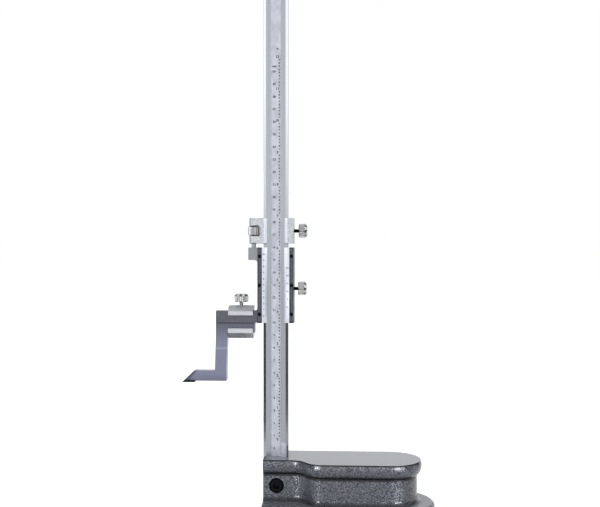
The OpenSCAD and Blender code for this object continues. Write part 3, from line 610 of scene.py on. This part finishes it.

# %% [markdown]
# ## Marks on the scriber
# The photograph shows four marks: a dark seam under the slider's arm, a pale line across the leg, painted shade
# towards the sole, and painted shade on a facet along the slanted tip. They are too fine to change the solid, so
# each is a mask over the colours by height.

# %% Seam, witness line, sole and facet
TIP_SLANT = 0.85
from_tip = blued.sums("SUBTRACT", blued.along(X), scriber_low.x)
from_sole = blued.sums("SUBTRACT", scriber_z, scriber_low.z)
from_slant = blued.sums("SUBTRACT", from_tip, blued.sums("MULTIPLY", from_sole, TIP_SLANT))
seam = blued.step(scriber_z, scriber_high.z - 0.75 * MM, scriber_high.z - 0.45 * MM, 0.0, 0.85)
# a pale line across the leg
pale_line = blued.near(scriber_z, PALE_LINE_Z, 1.1 * MM, 0.6 * MM, 0.55)
sole_shade = blued.step(from_sole, 6.5 * MM, 0.5 * MM, 0.0, 0.4)
# painted shade on the facet along the slanted tip
facet_shade = blued.both(blued.step(from_slant, 4.0 * MM, 2.4 * MM, 0.0, 0.8), blued.step(from_tip, 12 * MM, 8 * MM))
# the seam, the pale line, and painted shade towards the sole and on the tip's facet
for mark, mark_tone in (
    (seam, tone(24, 25, 30)), (pale_line, tone(156, 161, 184)),
    (sole_shade, tone(98, 100, 114)), (facet_shade, tone(80, 82, 92)),
):
    scriber_tone = blued.blend(mark, scriber_tone, mark_tone)
blued.colour(scriber_tone)
blued.gloss(blued.spread(grind, 0.3, 0.42))
blued.emboss(grind, 0.006 * MM, 0.5)
finishes["scriber_steel"] = blued.material
print("scriber finish:", len(blued.tree.nodes), "nodes")

# %% [markdown]
# ## Knurled chrome
# The thumb knobs and the fine-adjust nut are knurled, so that fingers hold them, and then chromed. The knurls are in
# the solids. What the chrome needs is a darker grey in their grooves and painted shade for notches at the rounded
# ends. Both go round an axis, so the masks use the distance from it and the angle round it.


# %% Chrome of knobs and nut
def knurled_chrome(node, axis, cap, dark, light):
    """Chrome for a drum round an axis: cap is the smooth end's height, dark and light are greys of the drum."""
    low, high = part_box(node)
    side, other = (i for i in (X, Y, Z) if i != axis)
    crest = (high[side] - low[side]) / 2
    made = Finish("chrome_" + node, 1.0, 0.18)
    up = made.along(axis)
    offsets = [made.sums("SUBTRACT", made.along(i), (low[i] + high[i]) / 2) for i in (side, other)]
    radius = made.reach(*offsets)
    cloud = made.noise(700)
    cap_foot = high[axis] - cap
    in_knurl = made.step(radius, crest - 0.12 * MM, crest - 0.34 * MM)
    on_drum = made.both(made.step(up, low[axis] + 0.3 * MM, low[axis] + 0.4 * MM),
                        made.step(up, cap_foot + 0.3 * MM, cap_foot + 0.1 * MM))
    on_cap = made.step(up, cap_foot - 0.2 * MM, cap_foot + 0.2 * MM)
    at_end = made.either(on_cap, made.step(up, low[axis] + 1.0 * MM, low[axis] + 0.6 * MM))
    on_flank = made.step(radius, crest - 2.0 * MM, crest - 1.7 * MM)
    waves = made.sums("COSINE", made.sums("MULTIPLY", made.sums("ARCTAN2", *offsets), NOTCHES))
    # painted shade of eight notches round the rounded ends
    notch_shade = made.both(made.both(made.step(waves, 0.2, 0.7), at_end), on_flank)
    chrome = made.blend(made.spread(cloud), tone(dark, dark, dark), tone(light, light, light))
    # a darker grey in the knurl's grooves
    chrome = made.blend(made.both(in_knurl, on_drum), chrome, tone(116, 116, 118))
    cap_tone = made.blend(made.spread(cloud), tone(166, 168, 171), tone(184, 186, 189))
    chrome = made.blend(on_cap, chrome, cap_tone)
    made.colour(made.blend(notch_shade, chrome, tone(84, 84, 86)))
    made.gloss(made.spread(cloud, 0.14, 0.26))
    made.emboss(cloud, 0.01 * MM, 0.4)
    return made.material


NOTCHES = 8.0
# the same chrome gets its own greys on each piece, as painted light and shade
own_finishes = {node: knurled_chrome(node, axis, cap * MM, dark, light) for node, axis, cap, dark, light in (
    ("slider_lock_knob", X, 2.0, 197, 225),
    ("carriage_lock_knob", X, 2.0, 184, 212),
    ("clamp_screw_knob", Z, 2.0, 226, 250),
    ("fine_adjust_nut", Z, 0.8, 189, 214),
)}
print("knurled pieces:", list(own_finishes))

# %% [markdown]
# ## The carriage and its window
# The carriage is satin plated like the scriber's clamp, but it has a window for the nut, and painted shade darkens
# the window right of the nut's middle. The window's edge is a box with round corners: the distance from the box's
# inner corner, where only what lies beyond the corner counts, gives that shape in one sum.

# %% Window round the nut
WINDOW_MARGIN, WINDOW_CORNER = 1.4 * MM, 2.4 * MM
nut_low, nut_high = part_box("fine_adjust_nut")
nut_middle = (nut_low + nut_high) / 2
plated = Finish("carriage_plating", 1.0, 0.4)
plated_x, plated_z = plated.along(X), plated.along(Z)
window_half = (nut_high.z - nut_low.z + WINDOW_MARGIN) / 2
above_nut = plated.sums("ABSOLUTE", plated.sums("SUBTRACT", plated_z, nut_middle.z))
past_side = plated.sums("SUBTRACT", plated_x, nut_high.x + WINDOW_MARGIN - WINDOW_CORNER)
past_top = plated.sums("SUBTRACT", above_nut, window_half - WINDOW_CORNER)
past_corner = plated.reach(plated.either(past_side, 0.0), plated.either(past_top, 0.0))
right_of_nut = plated.step(plated_x, nut_middle.x + 1.0 * MM, nut_middle.x + 3.5 * MM)
# painted shade in the window round the nut, right of its middle
window_shade = plated.both(plated.step(past_corner, WINDOW_CORNER, WINDOW_CORNER - 0.25 * MM), right_of_nut)
print("window:", round(2 * window_half / MM, 1), "mm high")

# %% [markdown]
# ## Plating, a painted highlight in the mouth and painted shade on the edges
# The mouth that faces the beam gets a painted highlight, and painted shade darkens the left edge and the lower edge,
# darkest over the rod. These are masks again, laid over the plating from the widest to the finest.

# %% Carriage finish
carriage_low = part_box("carriage_body")[0]
grain = plated.noise(1300)
mouth = plated.both(plated.step(plated.sums("ABSOLUTE", plated_x), 9.5 * MM, 9.3 * MM),
                    plated.step(plated.along(Y), -3.5 * MM, -3.7 * MM))
# painted shade along the left edge
shaded_left_edge = plated.step(plated_x, carriage_low.x + 1.1 * MM, carriage_low.x + 0.6 * MM, 0.0, 0.9)
# painted shadow along the lower edge, light under the lips and darkest over the rod
shaded_low_edge = plated.step(plated_z, carriage_low.z + 0.5 * MM, carriage_low.z + 0.35 * MM)
over_rod = plated.step(plated_x, -15.1 * MM, -15.3 * MM)
plating = plated.blend(plated.spread(grain), tone(176, 179, 184), tone(218, 221, 225))
for area, area_tone in (
    # painted highlight in the mouth
    (mouth, tone(226, 231, 238)),
    (shaded_left_edge, tone(104, 106, 110)),
    (plated.both(shaded_low_edge, mouth), tone(120, 122, 126)),
    (plated.both(shaded_low_edge, over_rod), tone(44, 45, 48)),
    (window_shade, tone(40, 40, 43)),
):
    plating = plated.blend(area, plating, area_tone)
plated.colour(plating)
plated.gloss(plated.spread(grain, 0.34, 0.46))
plated.emboss(grain, 0.02 * MM, 0.5)
own_finishes["carriage_body"] = plated.material
print("carriage finish:", len(plated.tree.nodes), "nodes")

# %% [markdown]
# ## Retaining strips
# The strips that hold the vernier plates are blackened bars whose front is ground grey. Painted shadow from the
# carriage darkens their top ends, and their bottom ends are darkened as well. The slider's steel would do for the
# front. The strips get their own finish for the sake of the ends.

# %% Strip finish
strip_low, strip_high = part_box("left_retaining_strip")
strip = Finish("dark_strip_steel", 1.0, 0.42)
strip_z = strip.along(Z)
strip_grain = strip.noise(1100)
strip_front = strip.blend(strip.spread(strip_grain), tone(80, 81, 89), tone(106, 107, 116))
# painted shadow at the top end, and a darkened bottom end
strip_end = strip.either(
    strip.step(strip_z, strip_high.z - 1.0 * MM, strip_high.z - 0.3 * MM, 0.0, 0.9),
    strip.step(strip_z, strip_low.z + 1.5 * MM, strip_low.z + 0.6 * MM, 0.0, 0.9),
)
strip.colour(strip.blend(strip_end, strip_front, tone(22, 22, 25)))
strip.gloss(strip.spread(strip_grain, 0.37, 0.48))
strip.emboss(strip_grain, 0.02 * MM, 0.5)
own_finishes["left_retaining_strip"] = own_finishes["right_retaining_strip"] = strip.material
print("strips:", round((strip_high.z - strip_low.z) / MM, 1), "mm long")

# %% [markdown]
# ## Every solid gets its finish
# The record says which material slot each solid has. The loop looks the finish up there, so no solid is forgotten,
# and takes the piece's own finish where it has one.

# %% Give out the finishes
for row in frame["record"]["subparts"]:
    slots = nodes[row["node"]].data.materials
    slots.clear()
    slots.append(own_finishes.get(row["node"]) or finishes[row["material_slot"]])
print("finishes:", len(finishes), "by slot and", len(own_finishes), "solids with their own")

# %% [markdown]
# ## Edges that catch the light
# A machinist breaks every edge with a stone. A knife-sharp edge shows no line of light, so the plain blocks get a
# small bevel. It could be in the solids, but so fine a round would only slow the CAD model. The CAD meshes are loose
# triangles: a Weld modifier joins them first, and Bevel then rounds the edges that turn by more than 35 degrees.

# %% Broken edges
BROKEN_EDGES_MM = {
    "carriage_body": 0.15, "scriber_clamp": 0.15, "scriber_body": 0.12, "slider_body": 0.12,
    "left_retaining_strip": 0.2, "right_retaining_strip": 0.2, "left_vernier_plate": 0.08,
    "right_vernier_plate": 0.08, "rod_bracket": 0.25, "beam": 0.25,
}
for name, width in BROKEN_EDGES_MM.items():
    weld = nodes[name].modifiers.new("joined", "WELD")
    weld.merge_threshold = 0.002 * MM
    broken = nodes[name].modifiers.new("broken_edges", "BEVEL")
    broken.width = width * MM
    broken.segments = 2
    broken.limit_method = "ANGLE"
    broken.angle_limit = math.radians(35)
    broken.use_clamp_overlap = True
    broken.harden_normals = False
print("bevelled pieces:", len(BROKEN_EDGES_MM))

# %% [markdown]
# ## Geometry Nodes, written by hand
# Scales and threads repeat by a rule. A loop could add each mark by hand, but a Geometry Nodes tree is a recipe that
# keeps the rule and its sizes in view. The first helper makes an empty tree with named inputs. run_recipe hands the
# sizes to a modifier, takes the finished mesh and throws the modifier away, so that what rides on the gauge is a
# plain mesh whose place is in its vertices.


# %% Recipe helpers
def recipe(name, inputs):
    """A Geometry Nodes tree with these inputs, each (name, socket type), and its way in and out."""
    made = bpy.data.node_groups.new(name, "GeometryNodeTree")
    for label, kind in inputs:
        made.interface.new_socket(label, in_out="INPUT", socket_type=kind)
    made.interface.new_socket("Geometry", in_out="OUTPUT", socket_type="NodeSocketGeometry")
    return made, made.nodes.new("NodeGroupInput"), made.nodes.new("NodeGroupOutput")


def wire(made, kind, *sources, **settings):
    """Add a node, set its settings, and feed its inputs in order from sockets or numbers."""
    node = made.nodes.new(kind)
    for key, value in settings.items():
        setattr(node, key, value)
    live = [s for s in node.inputs if s.enabled]
    for source, socket in zip(sources, live):
        if isinstance(source, bpy.types.NodeSocket):
            made.links.new(source, socket)
        else:
            socket.default_value = source
    return next(s for s in node.outputs if s.enabled)


def run_recipe(made, values):
    """The mesh that a recipe makes with these values, by input name."""
    holder = bpy.data.objects.new(made.name, bpy.data.meshes.new(made.name))
    scene.collection.objects.link(holder)
    modifier = holder.modifiers.new("recipe", "NODES")
    modifier.node_group = made
    for item in made.interface.items_tree:
        if item.in_out == "INPUT":
            modifier[item.identifier] = values[item.name]
    cooked = holder.evaluated_get(bpy.context.evaluated_depsgraph_get())
    mesh = bpy.data.meshes.new_from_object(cooked)
    bpy.data.objects.remove(holder)
    return mesh


def piece(name, meshes, finish, body):
    """One object from several meshes, riding on a body."""
    joined = bpy.data.meshes.new(name)
    points, faces = [], []
    for mesh in meshes:
        first = len(points)
        points += [tuple(v.co) for v in mesh.vertices]
        faces += [tuple(first + i for i in f.vertices) for f in mesh.polygons]
    joined.from_pydata(points, [], faces)
    joined.materials.append(finish)
    made = bpy.data.objects.new(name, joined)
    scene.collection.objects.link(made)
    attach(made, body)
    return made


# %% [markdown]
# ## Graduations
# A scale is a line of marks where every fifth and tenth is longer. One tree makes them all: points along Z, a bar on
# each, and the bar's length picked by the mark's number. The two verniers use the same tree with their own pitch:
# 49 mm in 50 parts, so each part is 0.98 mm and reads 0.02 mm, and 1.225 inch in 25 parts, which reads 0.001 inch.

# %% Graduation recipe
graduation, marks_in, marks_out = recipe("graduation", [
    ("Marks", "NodeSocketInt"), ("Pitch", "NodeSocketFloat"), ("Short", "NodeSocketFloat"),
    ("Middle", "NodeSocketFloat"), ("Long", "NodeSocketFloat"), ("Middle Every", "NodeSocketFloat"),
    ("Long Every", "NodeSocketFloat"), ("Width", "NodeSocketFloat"), ("Relief", "NodeSocketFloat"),
    ("Ink", "NodeSocketMaterial"),
])
wanted = {s.name: s for s in marks_in.outputs}
number = wire(graduation, "GeometryNodeInputIndex")


def every(count):
    """True on mark 0 and on each multiple of count."""
    rest = wire(graduation, "ShaderNodeMath", number, count, operation="MODULO")
    return wire(graduation, "FunctionNodeCompare", rest, 0.5, data_type="FLOAT", operation="LESS_THAN")


length = wire(graduation, "GeometryNodeSwitch", every(wanted["Middle Every"]), wanted["Short"], wanted["Middle"],
              input_type="FLOAT")
length = wire(graduation, "GeometryNodeSwitch", every(wanted["Long Every"]), length, wanted["Long"],
              input_type="FLOAT")
step_up = wire(graduation, "ShaderNodeCombineXYZ", 0.0, 0.0, wanted["Pitch"])
row_of_points = graduation.nodes.new("GeometryNodeMeshLine")
row_of_points.mode = "OFFSET"
graduation.links.new(wanted["Marks"], row_of_points.inputs["Count"])
graduation.links.new(step_up, row_of_points.inputs["Offset"])
bar = wire(graduation, "GeometryNodeMeshCube", (1, 1, 1))
bar = wire(graduation, "GeometryNodeTransform", bar)
bar.node.inputs["Translation"].default_value = (0.5, 0, 0)
bar_size = wire(graduation, "ShaderNodeCombineXYZ", length, wanted["Relief"], wanted["Width"])
placed = graduation.nodes.new("GeometryNodeInstanceOnPoints")
graduation.links.new(row_of_points.outputs[0], placed.inputs["Points"])
graduation.links.new(bar, placed.inputs["Instance"])
graduation.links.new(bar_size, placed.inputs["Scale"])
real_marks = wire(graduation, "GeometryNodeRealizeInstances", placed.outputs[0])
inked = graduation.nodes.new("GeometryNodeSetMaterial")
graduation.links.new(real_marks, inked.inputs["Geometry"])
graduation.links.new(wanted["Ink"], inked.inputs["Material"])
graduation.links.new(inked.outputs[0], marks_out.inputs[0])
print("recipe:", graduation.name, "inputs:", len(wanted) - 1)

# %% [markdown]
# ## Where the marks lie
# The scales lie in the beam's sunk band, and the verniers on the sloping faces of their plates, which reach down to
# the beam so that marks meet without parallax. The objects could be turned into place, but a piece has to sit at the
# origin, so the mesh is turned instead: along the mark, out of the face, and up the beam.

# %% Ink and a frame on a face
engraving = Finish("black_in_engraving", 0.0, 0.6)
engraving.colour(engraving.blend(engraving.noise(1500), tone(30, 31, 36), tone(52, 54, 60)))
ink = engraving.material
RELIEF = 0.02 * MM


def face_frame(along, up=(0, 0, 1), at=(0, 0, 0)):
    """A matrix whose X runs along a mark and whose Z runs up the beam, at a point of the face."""
    along, up = Vector(along).normalized(), Vector(up).normalized()
    out_of = up.cross(along)
    turned = Matrix((along, out_of, up)).transposed().to_4x4()
    return Matrix.Translation(Vector(at)) @ turned


def marks(count, pitch, short, middle, long, fives, tens, width, place):
    mesh = run_recipe(graduation, {
        "Marks": count, "Pitch": pitch, "Short": short * MM, "Middle": middle * MM, "Long": long * MM,
        "Middle Every": float(fives), "Long Every": float(tens), "Width": width * MM, "Relief": RELIEF, "Ink": ink,
    })
    mesh.transform(place)
    return mesh


print("marks stand", round(RELIEF / MM, 3), "mm thick in their face")

# %% [markdown]
# ## Scales on the beam
# The left scale counts millimetres and the right one fortieths of an inch, each from its own zero near the foot.
# Marks start at the band's edges and run inwards, so the left ones point right and the right ones point left.

# %% Beam scales
INCH = 25.4 * MM
MM_ZERO, INCH_ZERO = 53.5 * MM, 60.5 * MM
band_face = beam_low.y + 0.3 * MM
left_edge, right_edge = (-3.85 * MM, band_face), (3.85 * MM, band_face)
metric = marks(301, MM, 0.75, 1.05, 1.35, 5, 10, 0.14,
               face_frame((1, 0, 0), at=(*left_edge, MM_ZERO)))
inches = marks(481, INCH / 40, 0.45, 0.6, 0.8, 2, 4, 0.12,
               face_frame((-1, 0, 0), at=(*right_edge, INCH_ZERO)))
print("beam marks:", [len(m.polygons) // 6 for m in (metric, inches)])

# %% [markdown]
# ## Vernier scales
# A vernier's zero shows the reading, which is the height of the scriber's measuring face. So each vernier starts
# that far above the zero of its scale, and the gauge reads true. A plate's face runs from a low inner edge, next to
# the beam, to a high outer edge. The left plate is the mirror image of the right one.

# %% Vernier marks
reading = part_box("carbide_tip")[0].z
inner, outer = Vector((6.8 * MM, -4.6 * MM, 0)), Vector((10.9 * MM, -5.9 * MM, 0))
slope = (outer - inner).normalized()
MM_VERNIER, INCH_VERNIER = MM_ZERO + reading, INCH_ZERO + reading
mirror = Vector((-1, 1, 1))
right_start = inner + slope * 0.1 * MM
left_start = right_start * mirror
left_vernier = marks(51, 0.98 * MM, 1.1, 1.5, 1.8, 5, 10, 0.14,
                     face_frame(slope * mirror, at=(left_start.x, left_start.y, MM_VERNIER)))
INCH_VERNIER_PART = 49 * INCH / 40 / 25
right_vernier = marks(26, INCH_VERNIER_PART, 1.1, 1.5, 1.8, 5, 5, 0.14,
                      face_frame(slope, at=(right_start.x, right_start.y, INCH_VERNIER)))
print("vernier marks:", [len(m.polygons) // 6 for m in (left_vernier, right_vernier)])
print("reading:", round(reading / MM, 1), "mm")

# %% [markdown]
# ## Numerals
# The figures are stamped beside the long marks. They could be drawn as outlines, but Blender already holds a plain
# font, so text objects make them. Each is turned into a mesh while it still lies flat, scaled to its height, centred,
# and only then laid on its face.


# %% Figures
def figure(text, height, place, bold=0.02, wide=1.0):
    """Text as a flat mesh of this height, centred on a place: bold thickens it, wide stretches it."""
    curve = bpy.data.curves.new("figure", "FONT")
    curve.body = text
    curve.resolution_u = 3
    curve.offset = bold
    holder = bpy.data.objects.new("figure", curve)
    scene.collection.objects.link(holder)
    mesh = bpy.data.meshes.new_from_object(holder.evaluated_get(bpy.context.evaluated_depsgraph_get()))
    bpy.data.objects.remove(holder)
    low = Vector(map(min, zip(*(v.co for v in mesh.vertices))))
    high = Vector(map(max, zip(*(v.co for v in mesh.vertices))))
    scale = height / (high.y - low.y)
    stand_up = Matrix(((1, 0, 0, 0), (0, 0, -1, -RELIEF / 2), (0, 1, 0, 0), (0, 0, 0, 1)))
    to_size = Matrix.Diagonal((wide * scale, scale, scale, 1))
    mesh.transform(place @ stand_up @ to_size @ Matrix.Translation(-(low + high) / 2))
    return mesh


def on_band(x, z):
    """A place on the beam's band, so many mm right of its middle."""
    return face_frame((1, 0, 0), at=(x * MM, band_face, z))


beam_figures = [figure(str(i), 1.9 * MM, on_band(-1.25, MM_ZERO + 10 * i * MM), 0.04) for i in range(31)]
beam_figures += [figure(str(i), 2.2 * MM, on_band(1.45, INCH_ZERO + i * INCH), 0.04) for i in range(13)]
beam_figures += [
    figure(str(i % 10), 1.3 * MM, on_band(2.8, INCH_ZERO + i * INCH / 10), 0.1, 1.35)
    for i in range(120) if i % 10
]
beam_figures += [figure("mm", 1.2 * MM, on_band(-1.25, MM_ZERO + 304 * MM), 0.05)]
beam_figures += [figure("in", 1.6 * MM, on_band(1.5, INCH_ZERO + 311.2 * MM), 0.05)]
piece("beam_scales", [metric, inches, *beam_figures], ink, "stand")
print("figures on the beam:", len(beam_figures))


# %% Figures of the verniers
def on_plate(side, across, z):
    """A place on a vernier plate, so many mm from its inner edge: side is 1 for the right one, -1 for the left."""
    point = inner + slope * across * MM
    return face_frame((slope.x, side * slope.y, 0), at=(side * point.x, point.y, z))


VERNIER_FIGURE = 1.45 * MM
vernier_figures = [
    figure(str(i), VERNIER_FIGURE, on_plate(-1, 2.95, MM_VERNIER + 4.9 * i * MM)) for i in range(11)
]
vernier_figures += [
    figure(str(5 * i), VERNIER_FIGURE, on_plate(1, 2.75, INCH_VERNIER + 5 * i * INCH_VERNIER_PART))
    for i in range(6)
]
piece("vernier_scales", [left_vernier, right_vernier, *vernier_figures], ink, "slider")
print("figures on the verniers:", len(vernier_figures))

# %% [markdown]
# ## Screw threads
# The solids hold plain cylinders, as wide as the threads' crests. A Screw modifier could wind a profile round them,
# but a thread is a plain rule: the radius dips once per pitch, and the dip climbs by one pitch per turn. So the tree
# takes a flat grid, rolls it into a tube and lets that rule set each point's radius. The first and last row shrink
# to the axis and close the ends.

# %% Thread recipe
thread, thread_in, thread_out = recipe("thread", [
    ("Radius", "NodeSocketFloat"), ("Depth", "NodeSocketFloat"), ("Pitch", "NodeSocketFloat"),
    ("Length", "NodeSocketFloat"), ("Point", "NodeSocketFloat"), ("Around", "NodeSocketInt"),
    ("Rows", "NodeSocketInt"), ("Steel", "NodeSocketMaterial"),
])
sizes = {s.name: s for s in thread_in.outputs}


def calc(operation, *terms):
    """A sum in the thread's tree."""
    return wire(thread, "ShaderNodeMath", *terms, operation=operation)


SAME_PLACE = 1e-7
grid = wire(thread, "GeometryNodeMeshGrid", 1.0, 1.0, sizes["Around"], sizes["Rows"])
flat = wire(thread, "ShaderNodeSeparateXYZ", wire(thread, "GeometryNodeInputPosition"))
turn = calc("ADD", flat.node.outputs["X"], 0.5)
rise = calc("ADD", flat.node.outputs["Y"], 0.5)
height = calc("MULTIPLY", rise, sizes["Length"])
along_pitch = calc("SUBTRACT", calc("DIVIDE", height, sizes["Pitch"]), turn)
dip = calc("MULTIPLY", calc("PINGPONG", along_pitch, 0.5), 2.0)
to_end = calc("MINIMUM", height, calc("SUBTRACT", sizes["Length"], height))
tapered = calc("ADD", calc("SUBTRACT", sizes["Radius"], sizes["Point"]), to_end)
crest = calc("MINIMUM", sizes["Radius"], tapered)
radius = calc("SUBTRACT", crest, calc("MULTIPLY", dip, sizes["Depth"]))
open_row = calc("GREATER_THAN", to_end, SAME_PLACE)
radius = calc("MULTIPLY", radius, open_row)
angle = calc("MULTIPLY", turn, 2 * math.pi)
rolled = wire(thread, "ShaderNodeCombineXYZ", calc("MULTIPLY", radius, calc("COSINE", angle)),
              calc("MULTIPLY", radius, calc("SINE", angle)), height)
tube = thread.nodes.new("GeometryNodeSetPosition")
thread.links.new(grid, tube.inputs["Geometry"])
thread.links.new(rolled, tube.inputs["Position"])
sewn = thread.nodes.new("GeometryNodeMergeByDistance")
thread.links.new(tube.outputs[0], sewn.inputs["Geometry"])
sewn.inputs["Distance"].default_value = SAME_PLACE
real_thread = wire(thread, "GeometryNodeRealizeInstances", sewn.outputs[0])
coated = thread.nodes.new("GeometryNodeSetMaterial")
thread.links.new(real_thread, coated.inputs["Geometry"])
thread.links.new(sizes["Steel"], coated.inputs["Material"])
thread.links.new(coated.outputs[0], thread_out.inputs[0])
print("recipe:", thread.name, "inputs:", len(sizes) - 1)

# %% [markdown]
# ## Threads in place
# Each thread takes the box of the plain bar that it stands for, so it can't miss its place, and rides on the same
# body. Eight rows in a pitch and forty steps round are enough for the flanks to look straight. The rod's thread is
# rolled and pale, the clamp screw is turned steel, and the lock screws are black.

# %% Four threads
ROUND_Z = (120, 120, 2600)
turned_stem = lined_metal("turned_stem_steel", tone(176, 178, 182), tone(198, 200, 204), ROUND_Z, 0.34)
rolled_thread = lined_metal("rolled_thread_steel", tone(232, 234, 238), tone(246, 248, 251), ROUND_Z, 0.3,
                            metallic=0.15)
black_thread = finishes["black_screw"]
STEPS_ROUND, ROWS_IN_PITCH, CLEAR_OF_CREST = 41, 8, 0.002 * MM


def threaded(name, node, axis, pitch, depth, point, slot, body, steel):
    """A threaded bar in the place of a plain one that lies along an axis, X or Z."""
    low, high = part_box(node)
    bar_length = high[axis] - low[axis]
    mesh = run_recipe(thread, {
        "Radius": (high[Y] - low[Y]) / 2 - CLEAR_OF_CREST, "Depth": depth * MM, "Pitch": pitch * MM,
        "Length": bar_length, "Point": point * MM, "Around": STEPS_ROUND,
        "Rows": int(bar_length / (pitch * MM) * ROWS_IN_PITCH) + 1, "Steel": steel,
    })
    start = (low + high) / 2
    start[axis] = low[axis]
    turned = Matrix.Rotation(math.radians(90), 4, "Y") if axis == X else Matrix()
    mesh.transform(Matrix.Translation(start) @ turned)
    made = piece(name, [mesh], steel, body)
    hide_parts(node)
    print(name, "has", len(mesh.polygons), "faces")


for row in (
    ("fine_adjust_thread", "fine_adjust_rod", Z, 0.5, 0.14, 0.3, "bare_steel", "slider", rolled_thread),
    ("slider_lock_thread", "slider_lock_stem", X, 0.5, 0.22, 0.35, "black_screw", "slider_lock", black_thread),
    ("carriage_lock_thread", "carriage_lock_stem", X, 0.5, 0.22, 0.35, "black_screw", "carriage_lock", black_thread),
    ("clamp_thread", "clamp_screw_stem", Z, 0.6, 0.2, 0.35, "bare_steel", "clamp_screw", turned_stem),
):
    threaded(*row)

# %% [markdown]
# ## How much the dressed gauge grew
# What Blender adds may not make the gauge larger. The box of the solids and the box of the dressed gauge are set
# side by side, and how far each side has grown is printed in mm.

# %% How much it grew
dressed_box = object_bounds()
cad_sides, dressed_sides = ([*box[0], *box[1]] for box in (cad_box, dressed_box))
print("grown by mm:", [round((b - a) / MM, 3) for a, b in zip(cad_sides, dressed_sides)])
